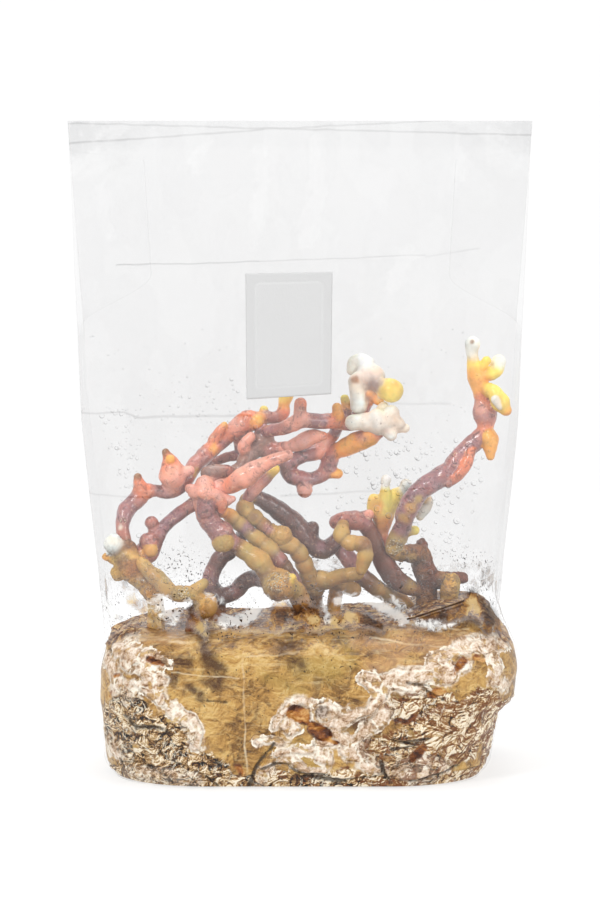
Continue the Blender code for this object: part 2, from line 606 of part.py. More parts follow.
def build_patch(parts):
    """A thin plate with rounded corners and a weld line, parallel to the leaning panel."""
    plate = bmesh.new()
    bmesh.ops.create_cube(plate, size=1.0)
    size = Matrix.Diagonal((PATCH_WIDTH * MM, PATCH_THICKNESS * MM, PATCH_HEIGHT * MM, 1.0))
    bmesh.ops.transform(plate, matrix=size, verts=plate.verts)
    plate.faces.ensure_lookup_table()
    front = min(plate.faces, key=lambda face: face.calc_center_median().y)
    bmesh.ops.inset_region(plate, faces=[front], thickness=WELD_INSET * MM)
    bmesh.ops.inset_region(plate, faces=[front], thickness=WELD_WIDTH * MM, depth=-WELD_DEPTH * MM)
    mesh = bpy.data.meshes.new("filter_patch")
    plate.to_mesh(mesh)
    plate.free()
    patch = add_object("filter_patch", mesh, parts, finish("filter_membrane", (0.72, 0.72, 0.72), 0.7))
    lean = math.atan2(LEAN_START_DEPTH - LEAN_END_DEPTH, SEAL_START - LEAN_START)
    centre_x, centre_z = PATCH_CENTRE
    normal = Vector((0.0, -math.cos(lean), math.sin(lean)))
    surface = Vector((centre_x, -panel_depth(centre_z), centre_z))
    place = surface + normal * (AIR_GAP + PATCH_THICKNESS / 2.0)
    patch.matrix_world = (Matrix.Translation(place * MM) @ Matrix.Rotation(-lean, 4, "X")
                          @ Matrix.Rotation(PATCH_ROLL, 4, "Y"))
    return patch


def build_block(parts):
    sawdust = finish("colonised_sawdust", (0.45, 0.33, 0.18), 0.7)
    block = add_object("substrate_block", block_mesh(0.0), parts, sawdust)
    shade(block)
    return block


def build_antlers(parts, cutters):
    """Each node is seated against the block and the nodes made before it."""
    block_seat = as_cutter(add_object("block_seat", block_mesh(AIR_GAP), cutters))
    seats = [(block_seat, bounds(block_seat))]
    for name in ANTLERS:
        body = antler_object(name, 0.0, parts)
        box = bounds(body)
        for seat, seat_box in seats:
            if boxes_meet(box, seat_box):
                apply_boolean(body, seat, "DIFFERENCE")
        keep_main_body(body)
        material = finish(name + "_flesh", ANTLER_COLOURS[name], 0.4)
        body.data.materials.clear()
        body.data.materials.append(material)
        shade(body)
        seat = as_cutter(antler_object(name, AIR_GAP, cutters))
        seat.name = name + "_seat"
        seats.append((seat, bounds(seat)))


def main():
    clear_scene()
    parts = new_collection("reishi_grow_kit")
    cutters = new_collection("cutters")
    build_block(parts)
    build_antlers(parts, cutters)
    build_bag(parts, cutters)
    build_patch(parts)


main()
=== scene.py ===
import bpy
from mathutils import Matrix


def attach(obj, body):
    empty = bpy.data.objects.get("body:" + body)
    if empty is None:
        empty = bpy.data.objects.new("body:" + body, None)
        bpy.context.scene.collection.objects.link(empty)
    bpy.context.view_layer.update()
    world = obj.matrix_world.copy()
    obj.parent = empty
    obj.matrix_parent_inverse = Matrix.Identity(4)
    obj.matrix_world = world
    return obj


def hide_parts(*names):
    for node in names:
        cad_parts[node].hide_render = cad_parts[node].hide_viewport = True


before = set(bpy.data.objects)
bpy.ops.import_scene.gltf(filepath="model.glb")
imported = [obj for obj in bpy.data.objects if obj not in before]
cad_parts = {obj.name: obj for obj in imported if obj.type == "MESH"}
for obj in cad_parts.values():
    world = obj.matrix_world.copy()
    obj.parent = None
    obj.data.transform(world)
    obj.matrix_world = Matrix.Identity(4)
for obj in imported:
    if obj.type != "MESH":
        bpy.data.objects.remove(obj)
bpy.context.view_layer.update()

# Looks of a reishi grow kit: a clear gusseted film bag with a filter patch, a colonised
# sawdust block inside it, and the lacquered antlers that grow from the block.
import math
from types import SimpleNamespace

import bmesh
import bpy
import numpy as np
from mathutils import Vector

MM = 0.001

# The bag, in millimetres, as the solids have it: height, left side, right side, half depth
BAG_LEVELS = np.array([
    (0.0, -98.0, 95.5, 71.0),
    (2.5, -102.5, 100.0, 74.0),
    (8.0, -105.5, 102.8, 75.2),
    (27.0, -106.5, 105.5, 75.8),
    (36.0, -107.0, 107.5, 75.8),
    (43.0, -108.2, 115.4, 76.0),
    (60.0, -107.4, 117.5, 75.7),
    (71.0, -104.4, 115.6, 74.4),
    (80.0, -105.0, 110.6, 73.0),
    (92.0, -105.6, 106.5, 70.0),
    (110.0, -107.5, 108.0, 66.0),
    (190.0, -116.0, 116.0, 43.2),
    (238.0, -118.3, 118.3, 29.6),
    (290.0, -121.5, 121.5, 14.8),
    (335.0, -124.0, 124.0, 2.0),
    (350.0, -125.0, 125.0, 0.6),
])
BAG_HEIGHT = 350.0
GUSSET_FOLD = 40.0
FOLD_START = 238.0
FOLD_RUN = 30.0
SEAL_START = 335.0
LEAN_START = 110.0
PANEL_FLAT = 35.0
PANEL_EDGE_SHARE = 0.94
# How far the front panel leans back, in radians
PANEL_LEAN = math.atan2(64.0, SEAL_START - LEAN_START)
# The corners' radius at some heights
CORNER_HEIGHTS = [0.0, 30.0, 80.0, 110.0, 190.0, FOLD_START, FOLD_START + 10.0]
CORNER_RADII = [62.0, 43.0, 43.0, 28.0, 9.0, 2.0, 0.8]
# Columns of film points in half a panel, a corner and half a side
PANEL_STEPS = 60
CORNER_STEPS = 14
SIDE_STEPS = 26
# The lines pressed into the seal: height in the middle, and rise for each millimetre to the right
SEAL_LINES = [(343.2, -0.020), (339.5, 0.066)]
SEAL_LINE_WIDTH = 0.7

# The filter patch: middle (x, z), width and height, and how much it climbs to the right
PATCH_CENTRE = (-5.9, 236.6)
PATCH_SIZE = (45.6, 67.6)
PATCH_RISE = 0.042
PATCH_THICKNESS = 0.55
# Distance of the weld line from the patch's sides and ends, and its corner radius
WELD_MARGINS = (5.2, 5.4)
WELD_CORNER = 2.4

# The block: gap to the film, height of its top and shoulder, and how its top climbs to the right
BLOCK_GAP = 0.95
BLOCK_TOP = 81.0
BLOCK_SLOPE = 0.03
BLOCK_SHOULDER = 71.0
# How far either side of a form's edge its field reaches, in millimetres
FIELD_REACH = 6.0

# Surface tones, as sRGB colours
TONES = {
    "dark": (0.43, 0.26, 0.22),
    "russet": (0.46, 0.26, 0.17),
    "purple": (0.61, 0.41, 0.41),
    "mauve": (0.69, 0.45, 0.41),
    "pink": (0.91, 0.63, 0.55),
    "coral": (0.88, 0.50, 0.35),
    "orange": (0.96, 0.65, 0.28),
    "yellow": (0.96, 0.83, 0.38),
    "ochre": (0.79, 0.62, 0.32),
    "brown": (0.55, 0.37, 0.19),
    "amber": (0.46, 0.24, 0.08),
    "grey": (0.58, 0.46, 0.42),
    "rosy": (0.84, 0.75, 0.70),
    "white": (0.93, 0.91, 0.86),
    "cream": (0.90, 0.86, 0.81),
}
# How lacquered each tone is
GLOSS = {"dark": 0.95, "russet": 0.2, "purple": 0.9, "mauve": 0.85, "pink": 0.6, "coral": 0.7,
         "orange": 0.5, "yellow": 0.35, "ochre": 0.3, "brown": 0.55, "amber": 1.0, "grey": 0.55,
         "rosy": 0.05, "white": 0.1, "cream": 0.05}

# The antlers' limbs, as the solids have them: (x, y, z, radius, tone) in millimetres
ANTLERS = {
    "left_mound": [
        [(-76, -30, 66, 4.5, "brown"), (-77, -30, 78, 4.5, "ochre"), (-77, -30, 88, 4.2, "ochre"),
         (-78, -30, 95, 4.4, "ochre"), (-81, -30, 100, 4.6, "ochre"), (-85, -30, 105.5, 5.4, "ochre"),
         (-92, -30, 114.5, 8, "ochre"), (-93, -30, 122, 5.5, "brown")],
        [(-97, -29.3, 109, 4.4, "ochre")],
        [(-95, -30.6, 120, 5, "brown"), (-100, -31.2, 125, 5.3, "white")],
        [(-97, -29.6, 116, 4, "ochre"), (-103, -28.8, 117.5, 2.5, "orange")],
    ],
    "left_arch": [
        [(-93, -30, 118, 4.6, "brown"), (-95, -28, 133, 3.8, "mauve"), (-94, -25, 139, 4.5, "purple"),
         (-92, -22, 143, 4.9, "purple"), (-87.6, -20, 147, 4.9, "mauve"), (-84, -19, 151, 4.9, "coral"),
         (-78, -18, 152, 3.4, "mauve"), (-72, -16, 151, 3.7, "mauve"), (-66, -13, 153, 4.1, "purple"),
         (-61, -10, 158, 4.3, "mauve"), (-57, -5, 164.4, 4.4, "mauve"), (-52, 0, 169, 4.7, "mauve"),
         (-47.5, 3, 173, 4.6, "coral"), (-43, 5, 176, 3.9, "purple"), (-38, 6, 180.6, 4.5, "coral"),
         (-33, 6, 184.4, 5.9, "pink"), (-28, 6, 187.5, 6.2, "coral"), (-23.4, 8, 188, 4.9, "orange"),
         (-18.5, 10, 189, 3.9, "mauve"), (-13.6, 12, 189, 3.5, "mauve"), (-9.3, 12, 191.6, 3.9, "coral"),
         (-8.7, 12, 196.6, 3.3, "orange"), (-7.6, 12, 201.5, 4.1, "yellow")],
        [(-85, -20, 152, 4.4, "coral"), (-86.5, -20, 157, 3, "coral"), (-87, -20, 159.5, 2.4, "brown")],
        [(-69, -16, 153, 4.5, "pink"), (-68.5, -18, 160, 7.3, "pink"), (-70, -19, 167.6, 4.8, "coral"),
         (-72, -19, 172.7, 2.3, "brown")],
        [(-67, -18, 161, 4, "pink"), (-59, -18, 163, 2.6, "pink")],
        [(-46.4, 3, 177, 3.8, "coral"), (-43, 2, 183, 2.8, "coral"), (-41, 2, 186, 1.9, "orange")],
        [(-20, 11, 189, 3.4, "orange"), (-19.7, 12, 193.4, 2.5, "yellow")],
        [(-52, 6, 166, 2.6, "mauve"), (-47, 12, 165, 2.5, "mauve"), (-40, 13, 167.3, 2.7, "mauve"),
         (-33, 12, 169.5, 3.2, "purple"), (-33, 9, 178, 3.6, "mauve")],
    ],
    "inner_left_stem": [
        [(-88, -30, 114, 5, "ochre"), (-82, -25, 120, 6.2, "mauve"), (-77, -25, 127.6, 4.4, "purple"),
         (-72, -20, 133.7, 3.6, "purple"), (-67, -16, 138, 3.6, "purple"), (-61, -14, 142, 3.6, "mauve"),
         (-55, -16, 146, 4, "mauve")],
        [(-79, -25, 125, 3.4, "purple"), (-79, -24, 132, 2.6, "mauve"), (-79.5, -24, 135, 3.8, "mauve")],
    ],
    "hub_stem": [
        [(2.7, -15, 71, 6, "brown"), (2, -15, 86, 5.4, "brown"), (-0.3, -18, 94, 5.3, "ochre"),
         (-4, -22, 99.7, 5.5, "ochre"), (-11.8, -26, 103, 8, "ochre"), (-18, -26, 109, 4.9, "brown"),
         (-21, -26, 114, 6.2, "ochre"), (-28, -24, 119, 5.3, "ochre"), (-33, -22, 122, 4.6, "brown"),
         (-37, -22, 124.4, 4.6, "purple"), (-41.6, -22, 128.7, 6.2, "mauve"),
         (-46, -22, 133.5, 5.6, "purple"), (-49, -21, 137, 6, "mauve"), (-52, -21, 144, 5, "pink"),
         (-51.6, -22, 150, 6.9, "pink"), (-51, -22, 156.5, 4.4, "pink")],
        [(-52, -22, 151, 4, "pink"), (-59, -22, 153.3, 3, "pink")],
        [(-47, -22, 148, 4.4, "pink"), (-39.6, -24, 147.6, 3.6, "pink"), (-36, -24, 148.2, 1.8, "pink")],
        [(-8, -28, 104, 4, "ochre"), (-4.3, -30, 106.3, 2.6, "yellow")],
    ],
    "front_branch": [
        [(-49, -20, 151, 4, "pink"), (-42, -20, 154, 4.6, "pink"), (-37, -22, 155.6, 4.9, "coral"),
         (-30, -24, 159.7, 5.8, "pink"), (-23, -26, 164.7, 4.9, "pink"), (-15.7, -28, 168.7, 3.6, "pink"),
         (-9.6, -29, 171, 3.5, "pink"), (-6.4, -30, 172.4, 3, "pink")],
    ],
    "dark_knob": [
        [(-51, -13, 154, 4.9, "pink"), (-45, -8, 158, 4.6, "mauve"), (-40, -5, 159, 4.4, "mauve"),
         (-35, -3, 161, 4, "grey"), (-31, -2, 164, 4.3, "grey"), (-28.7, 0, 168.6, 4.9, "grey"),
         (-24, 2, 173, 4.9, "grey"), (-20, 3, 177, 6.4, "grey"), (-20.4, 3, 182.5, 4.5, "purple")],
        [(-22, 2, 173, 4.6, "grey"), (-13.6, 2, 172, 5.3, "mauve"), (-7.6, 0, 174.3, 3.4, "pink")],
        [(-29, -1, 170, 3.4, "grey"), (-30.7, -4, 175, 3.3, "pink"), (-26.5, -4, 180, 2.7, "pink")],
    ],
    "pink_branch": [
        [(-8, -1, 174.6, 3, "mauve"), (-5.6, -2, 174.6, 3.4, "pink"), (0, -4, 176.6, 4.3, "pink"),
         (5.7, -6, 179.5, 4.5, "pink"), (10.2, -8, 180.5, 3.4, "pink"), (12.4, -8, 180.7, 2.4, "coral")],
    ],
    "upper_run": [
        [(-18, -1, 182.6, 3.3, "purple"), (-13.6, -7, 184, 3.5, "purple"), (-9, -10, 185, 3.8, "mauve"),
         (-4, -10, 187.4, 4.3, "pink"), (1, -10, 189.7, 4.4, "pink"), (6.5, -8, 189, 4.1, "purple"),
         (11.5, -6, 188.5, 4.1, "purple"), (17, -4, 188.5, 4.3, "coral"), (22.7, -2, 187.3, 3.8, "coral"),
         (28, -2, 187, 4, "purple")],
        [(0, -10, 189, 3.8, "pink"), (0, -11, 193.5, 3.7, "pink"), (0.3, -12, 198.4, 3.4, "coral")],
        [(20.5, -4, 188, 3.8, "coral"), (20.7, -5, 191.5, 3.6, "orange"), (20, -6, 196, 2.8, "orange")],
        [(25, 0, 189, 3, "purple"), (25.4, 3, 195.5, 3, "orange"), (24.2, 4, 200, 2.5, "yellow")],
    ],
    "loop_run": [
        [(20, 1, 184, 3.4, "purple"), (18.3, 5, 180.3, 3.4, "coral"), (14.2, 6, 176.6, 3.8, "pink"),
         (10.2, 4, 171.5, 4.4, "pink"), (4.8, 2, 170, 3.9, "purple"), (0, 0, 168.6, 3.9, "purple"),
         (-4.6, -2, 165.8, 4, "purple"), (-7.2, -2, 162.6, 4.2, "dark"), (-4.6, -2, 158.8, 4.6, "purple"),
         (0.8, 0, 157, 4.6, "purple"), (7, 2, 156.7, 3.9, "purple"), (12.4, 3, 159, 4.2, "mauve"),
         (16, 3, 165, 4.7, "purple"), (18.7, 2, 170.6, 4.1, "mauve"), (23.6, 0, 173.3, 5, "orange"),
         (30.3, -4, 177, 5.6, "orange"), (37, -8, 180.4, 5.3, "orange"), (42, -10, 184, 4.5, "coral")],
        [(-11.6, 1, 170, 3.8, "mauve"), (-8, -1, 164.5, 3.8, "purple")],
        [(1.6, 0, 156, 4, "purple"), (2.5, 0, 150.5, 4.5, "pink")],
        [(13, 3, 160, 3.4, "mauve"), (20.5, 2, 159.4, 3, "orange")],
    ],
    "lower_cap": [
        [(36, -12, 188, 5, "cream"), (41.7, -12, 188.4, 7.6, "cream"), (46, -12, 188.6, 6, "cream")],
        [(38, -11.4, 189, 4.8, "cream"), (28.5, -11.8, 188.3, 4.4, "white")],
        [(46, -12.6, 189.3, 4.6, "cream"), (49, -12.3, 193.2, 4.6, "cream")],
        [(45, -12.9, 186.2, 4.4, "cream"), (49, -13.2, 181.6, 3.4, "cream")],
        [(46, -11.6, 187.1, 4.7, "cream"), (53, -11.1, 185.8, 3.6, "cream"),
         (56.5, -10.8, 185.2, 2.6, "white")],
        [(43, -9.2, 190.4, 4, "cream"), (44.8, -6.3, 196, 3.3, "cream")],
    ],
    "upper_cap": [
        [(37.8, -2, 212, 8.2, "cream")],
        [(31, -2.6, 189, 4, "purple"), (34, -2.3, 196, 4.4, "mauve"), (37, -1.6, 204, 4.8, "cream"),
         (38, -1.3, 210, 5, "cream")],
        [(37, 0, 216, 5, "cream"), (33, 1, 220, 5.2, "white"), (29, 1, 218.4, 3.4, "white")],
        [(32, -6, 212, 4, "cream"), (29.8, -8, 210.5, 4.2, "white"), (30.7, -8, 203, 4.3, "white"),
         (31.4, -8, 197, 4.6, "white")],
        [(42, -6, 208, 4.4, "cream"), (49.2, -10, 205.2, 6.7, "yellow")],
        [(38, -4, 203, 3.4, "orange"), (42.7, -5, 199.6, 2.8, "orange")],
    ],
    "right_antler": [
        [(50.5, 5, 118, 4, "ochre"), (52.7, 4, 123.5, 5.4, "ochre"), (55.4, 2, 129.6, 5, "purple"),
         (56.6, 0, 133.5, 4.8, "purple"), (57.3, -2, 138, 5.7, "purple"),
         (60.6, -4, 144.5, 5.9, "purple"), (64, -4, 149.5, 5.7, "purple"), (69, -4, 153.7, 5.6, "purple"),
         (76, -3, 158, 5.9, "purple"), (82, -2, 162, 5.4, "purple"), (87, -1, 169.5, 5.3, "purple"),
         (93, 0, 175.4, 5.4, "purple"), (97.7, 0, 179.5, 5.1, "mauve"), (100.5, 0, 185, 4.8, "coral"),
         (100, 0, 193, 6.6, "mauve"), (98.6, 0, 200, 4.6, "coral"), (97, 0, 206, 4.3, "orange"),
         (95.4, 0, 212.4, 5.1, "orange"), (94, 0, 218.7, 3.7, "yellow"), (93, 0, 225, 3.4, "white"),
         (93.2, 0, 230, 4.3, "white")],
        [(97, 0, 215, 3, "orange"), (100.6, -3, 221, 2.6, "yellow")],
        [(97, 0, 213, 4, "orange"), (105, 2, 214.5, 4.3, "yellow"), (107.6, 3, 220, 4, "white")],
        [(99, -1, 206, 4, "orange"), (104.6, -6, 204, 4.3, "yellow"), (108.3, -8, 198.4, 5.2, "yellow"),
         (111, -8, 194.6, 3.2, "orange")],
        [(101, -1, 182, 4.2, "coral"), (102.8, -4, 179.3, 4.8, "orange"), (102.8, -4, 174, 4.1, "orange"),
         (103, -4, 169.6, 2.6, "orange")],
        [(65, 0, 148, 3.4, "ochre"), (69.8, 7, 144, 2.8, "white"), (67.3, 8, 139, 3.2, "white"),
         (65.4, 8, 135.5, 2.3, "white")],
        [(58, 2, 128, 3, "ochre"), (62.7, 6, 128, 2.6, "yellow")],
    ],
    "yellow_cluster": [
        [(45.3, 14, 117, 3.4, "coral"), (45.3, 14, 122.6, 3.2, "coral"), (44.8, 14, 127.4, 4.1, "pink"),
         (45.3, 13, 133, 5.5, "orange"), (46.6, 12, 139.6, 5.5, "yellow"), (46.5, 10, 148, 3.4, "yellow"),
         (46.5, 10, 152, 2.5, "white"), (47, 10, 155.4, 2.9, "white")],
        [(43, 12, 136, 3.6, "orange"), (39.8, 12, 139, 3.2, "yellow"), (40.6, 12, 144, 3.6, "yellow")],
        [(49, 12, 140, 4, "yellow"), (51.5, 13, 145.7, 4.4, "yellow"), (55.7, 14, 149, 2.8, "white"),
         (58, 14, 152, 3.6, "white")],
    ],
    "cross_stem": [
        [(19.6, 4, 132.6, 4.2, "mauve"), (23, 3, 134, 4.6, "mauve"), (28.8, 4, 133.6, 5.8, "mauve"),
         (34, 6, 132, 5, "purple"), (37.4, 8, 128, 4.6, "russet"), (40, 8, 123.4, 4.5, "russet"),
         (42.4, 8, 117.6, 4.6, "russet"), (44.7, 10, 112, 5.2, "russet"), (48, 12, 106, 5.8, "russet"),
         (52.4, 14, 100.5, 5.6, "russet"), (58.4, 16, 96.4, 4.9, "brown"), (64.8, 20, 93.4, 3.8, "brown"),
         (71, 24, 90.5, 3.2, "brown"), (76, 27, 80, 3, "brown")],
        [(33, 6, 134, 4.2, "mauve"), (37.5, 6, 136.6, 2.9, "pink")],
    ],
    "dark_arch": [
        [(-28, -2, 147, 3.8, "dark"), (-24, 0, 146.7, 4.2, "dark"), (-19, 2, 144, 4.6, "dark"),
         (-13, 4, 140, 5.1, "dark"), (-7, 5, 135, 5.6, "dark"), (-2, 6, 131, 5.8, "dark"),
         (2, 6, 125.4, 5.8, "dark"), (6.5, 6, 120.4, 5.6, "dark"), (11.4, 6, 117.7, 5.4, "dark"),
         (16, 8, 118.6, 5.1, "dark"), (20, 9, 122.3, 4.6, "dark"), (23.5, 7, 127.3, 4.4, "purple")],
        [(6, 7, 123, 4, "dark"), (6.8, 8, 129, 3.9, "dark")],
    ],
    "ochre_leg": [
        [(-29, -5, 145, 4.6, "ochre"), (-29.6, -8, 140.6, 5, "ochre"), (-24.4, -8, 136.3, 4.9, "ochre"),
         (-19, -8, 131.4, 4.6, "brown"), (-14, -8, 127.7, 5, "ochre"), (-10.3, -8, 124.2, 6, "ochre"),
         (-5.4, -7, 121.5, 4.9, "ochre"), (-1.4, -6, 118, 4.9, "ochre"), (1, -4, 113.3, 4.6, "ochre"),
         (3.3, -2, 108, 4.9, "ochre"), (5.4, 2, 100.6, 5, "ochre")],
    ],
    "under_branch": [
        [(-28, -7, 147, 3.4, "mauve"), (-23, -9, 154, 3.9, "pink"), (-18, -10, 159, 3.8, "mauve"),
         (-13.5, -12, 163, 2.8, "yellow")],
    ],
    "low_branch": [
        [(31.3, -6, 105.6, 3.6, "ochre"), (27, -5, 105, 4, "ochre"), (21.7, -3, 104, 4.1, "ochre"),
         (16, 0, 101.7, 4.6, "ochre"), (9.8, 4, 100, 6.2, "ochre"), (6.5, 8, 92, 5.8, "brown"),
         (8, 12, 82, 6, "brown"), (9, 14, 72, 6, "brown")],
        [(16, 4, 101, 3.8, "ochre"), (20.7, 10, 100.4, 3.8, "ochre"), (20, 12, 94.7, 4.1, "ochre"),
         (18.6, 14, 86.8, 4, "ochre"), (18, 14, 74, 4, "brown")],
        [(21, 9, 98, 3.4, "ochre"), (29.4, 8, 95.5, 4.4, "ochre")],
    ],
    "worm_branch": [
        [(23.2, -3, 131, 4.2, "ochre"), (22.6, -8, 126.7, 4.3, "ochre"), (26.4, -10, 123, 4.3, "ochre"),
         (31.3, -11, 123, 4.3, "ochre"), (35, -12, 121.5, 4.4, "brown"), (35.4, -12, 117, 4.3, "ochre"),
         (34, -12, 112, 4.1, "ochre"), (33, -12, 108.5, 3, "ochre")],
    ],
    "low_right_stem": [
        [(20.4, 11, 119.6, 4, "purple"), (23.4, 12, 115.6, 4.6, "purple"),
         (27.8, 10, 110.3, 4.9, "purple"), (31.5, 9, 105, 4.9, "purple"), (36.5, 10, 100, 4.9, "brown"),
         (42.5, 14, 95, 4.6, "ochre"), (50, 21, 90, 4.4, "ochre"), (56.5, 26, 86.6, 4, "ochre"),
         (62, 28, 80, 3.8, "ochre")],
    ],
    "dark_loop": [
        [(-29.7, -4, 130, 3.6, "dark"), (-32.6, 2, 124, 3.8, "dark"), (-38, 4, 117, 4.3, "dark"),
         (-42.6, 4, 114, 4.6, "dark"), (-46, 4, 109, 4.6, "dark"), (-48.5, 4, 103, 4.6, "purple"),
         (-48.3, 4, 97, 5, "dark"), (-44.5, 4, 93, 5, "dark"), (-40, 4, 93, 4.6, "dark"),
         (-35, 4, 95, 4.5, "purple"), (-31, 2, 99.5, 4.6, "dark"), (-26, 0, 102.3, 4.6, "dark"),
         (-20, -8, 102.6, 4.6, "dark"), (-16, -18, 103, 4.6, "brown")],
        [(-45.6, 5, 90, 4.6, "dark"), (-45.6, 6, 84, 5, "brown"), (-45, 6, 68, 5, "brown")],
    ],
    "ochre_long": [
        [(-45, -17, 141, 3.4, "mauve"), (-40, -13, 139.6, 3.6, "orange"), (-34, -12, 134.4, 4.3, "ochre"),
         (-29.7, -12, 131, 3.9, "purple"), (-23.5, -13, 125.6, 4.6, "ochre"),
         (-17, -14, 120, 4.9, "ochre"), (-12.6, -14, 115, 4.9, "mauve"), (-8.6, -12, 109.6, 4.9, "brown"),
         (-5.4, -10, 104.3, 4.9, "purple"), (-1, -10, 96.6, 4.8, "brown"), (0, -13, 92, 4.6, "brown")],
    ],
    "left_low_stem": [
        [(-84.5, -35, 115, 3.4, "ochre"), (-79.6, -38, 110, 4.2, "ochre"),
         (-75, -40, 106.7, 4.5, "ochre"), (-71.3, -42, 102.5, 4.5, "ochre"),
         (-67, -42, 99.4, 4.2, "ochre"), (-61, -42, 99.3, 4.3, "ochre"), (-56, -41, 98.4, 4.4, "ochre"),
         (-52.6, -39, 94, 4.8, "brown"), (-54.7, -38, 88, 4.8, "brown"), (-56.6, -38, 80, 4.6, "brown"),
         (-56, -38, 66, 5, "brown")],
        [(-57, -42, 100, 3.8, "ochre"), (-51, -42, 105, 2.7, "ochre")],
    ],
    "right_rough": [
        [(52.5, 9, 115, 4.2, "ochre"), (60, 13, 114.6, 4.8, "brown"), (66, 20, 112.4, 5.8, "brown"),
         (67.4, 20, 106, 6, "russet"), (70, 20, 100.4, 5.9, "russet"), (69.7, 22, 92, 5.5, "brown"),
         (69.7, 22, 76, 5.5, "brown")],
        [(66, 20, 113, 4.6, "brown"), (67, 20, 118.5, 3.4, "russet")],
        [(70, 20, 101, 5, "russet"), (75.7, 22, 98.8, 4.7, "brown"), (82, 24, 99.4, 3.9, "russet"),
         (89, 25, 99.4, 3.3, "russet")],
        [(80, 22, 98, 3.8, "ochre"), (83, 15, 99.7, 3.8, "ochre"), (82, 14, 95, 5.1, "ochre"),
         (82, 16, 87.7, 5, "ochre"), (82, 17, 76, 5, "brown")],
    ],
}
# Knobs, collars and ridges on the antlers that the solids leave out
KNOBS = {
    "hub_stem": [
        [(-51, -23, 155.5, 5.2, "pink")],
        [(-41, -24, 125.3, 6.2, "ochre")],
        [(-41.3, -23, 131, 5.6, "mauve")],
        [(-57, -25, 151.5, 3.3, "pink"), (-51, -28, 151.5, 3.4, "pink"),
         (-45.5, -26, 150.5, 3.2, "pink")],
        [(-50.5, -25, 147, 5.2, "purple"), (-50.5, -24, 142, 5.0, "purple")],
        [(-11, -27, 102, 9.0, "ochre")],
        [(-44, -24, 150, 3.2, "pink"), (-41.5, -26, 145.5, 3.3, "coral"),
         (-41.8, -25, 142.4, 2.2, "coral")],
    ],
    "left_arch": [
        [(-69.6, -22.6, 169.4, 2.7, "orange")],
        [(-84, -22, 152, 2.4, "coral")],
        [(-24, 3, 187, 4.6, "orange")],
    ],
    "dark_knob": [
        [(-49, -10, 160.2, 4.8, "grey"), (-44, -9, 161.4, 4.3, "grey"), (-39.5, -8, 161.6, 3.9, "mauve")],
    ],
    "inner_left_stem": [
        [(-80.5, -28, 125.4, 5.6, "mauve")],
        [(-79.6, -32.5, 121.4, 4.2, "ochre")],
    ],
    "left_low_stem": [
        [(-50.5, -40, 93, 6.8, "ochre")],
        [(-55.5, -39, 86, 4.7, "amber"), (-56, -39, 80, 4.5, "amber")],
    ],
    "ochre_leg": [
        [(-10.5, -9, 126.6, 6.3, "ochre")],
    ],
    "upper_cap": [
        [(27.5, 0, 215.5, 2.6, "white"), (28.7, 0, 220, 3.0, "white"), (33, 0, 222.2, 3.0, "white"),
         (37.6, 0, 220, 2.9, "white")],
        [(45.2, -9, 207.5, 4.0, "white"), (44.4, -9, 203.8, 3.2, "white")],
    ],
    "lower_cap": [
        [(50, -13, 191, 3.6, "cream"), (53.5, -13, 187.5, 3.2, "cream")],
    ],
    "right_antler": [
        [(105.6, -11.4, 200.6, 3.1, "white"), (107.6, -12.2, 197.4, 2.2, "white")],
        [(80, -5, 155.4, 3.0, "mauve"), (85.5, -6, 159.4, 3.2, "coral"), (90, -5.5, 165.5, 3.3, "coral"),
         (92.5, -5, 172, 2.8, "coral")],
    ],
}
# Patches of another tone on the antlers: x, y, z, reach and tone
TINTS = {
    "upper_cap": [(37, -9, 213, 8, "rosy"), (39.5, -9, 208, 4.5, "grey"), (37.5, -5, 202, 4.5, "grey"),
        (52, -16, 210.5, 3.5, "orange"), (29.5, -12, 211, 2.2, "brown")],
    "lower_cap": [(43.4, -19, 188.2, 0.8, "dark"), (40.3, -17, 192.6, 0.5, "brown"),
        (46, -17, 184, 2.5, "rosy")],
    "left_arch": [(-96, -31, 133.5, 1.5, "white"), (-57, -9, 160, 3.5, "ochre"),
        (-24, 2, 184, 4.0, "coral"), (-93, -26, 136, 4, "purple"), (-46, -2, 173, 3, "orange")],
    "right_antler": [(93, -4, 231.5, 1.2, "brown"), (64, -9, 147, 2.6, "ochre"),
        (60, -8, 141, 3.2, "ochre"), (57, -7, 135, 4, "ochre"), (97.5, -6, 196, 4, "pink")],
    "hub_stem": [(-47, -27, 133, 3.5, "purple"), (-12, -32, 96, 4, "brown")],
    "left_mound": [(-88, -36, 112, 5, "brown"), (-80, -35, 106, 3.0, "brown"),
        (-94, -35, 117, 3.5, "brown")],
    "loop_run": [(34, -10, 181, 4, "mauve"), (30, -9, 175, 4, "orange")],
    "cross_stem": [(62, 12, 97, 4.5, "ochre")],
    "right_rough": [(60, 8, 112, 3.5, "ochre"), (67, 14, 103, 3.5, "brown"), (80, 17, 99, 4, "brown")],
    "yellow_cluster": [(41, 7, 141, 5, "orange"), (48, 6, 130, 5, "orange")],
    "dark_arch": [(-27, -4, 147, 3.5, "ochre"), (11, 2, 119, 3, "purple")],
    "ochre_leg": [(-25, -13, 137, 3.5, "brown"), (-17, -12, 130, 3, "mauve")],
}
# Distance between growth joints along an antler, and the edge length of its skin's faces
JOINT_SPACING = 8.0
SKIN_GRAIN = 0.62
# Sides of a limb, and rings in each of its round ends
LIMB_SIDES = 18
LIMB_END_RINGS = 5
# How plainly each antler shows its growth joints, from 0 to 1
JOINTED = {"worm_branch": 1.0, "ochre_leg": 0.8, "ochre_long": 0.7, "hub_stem": 0.5, "low_branch": 0.4,
           "left_low_stem": 0.5, "lower_cap": 0.0, "upper_cap": 0.0}
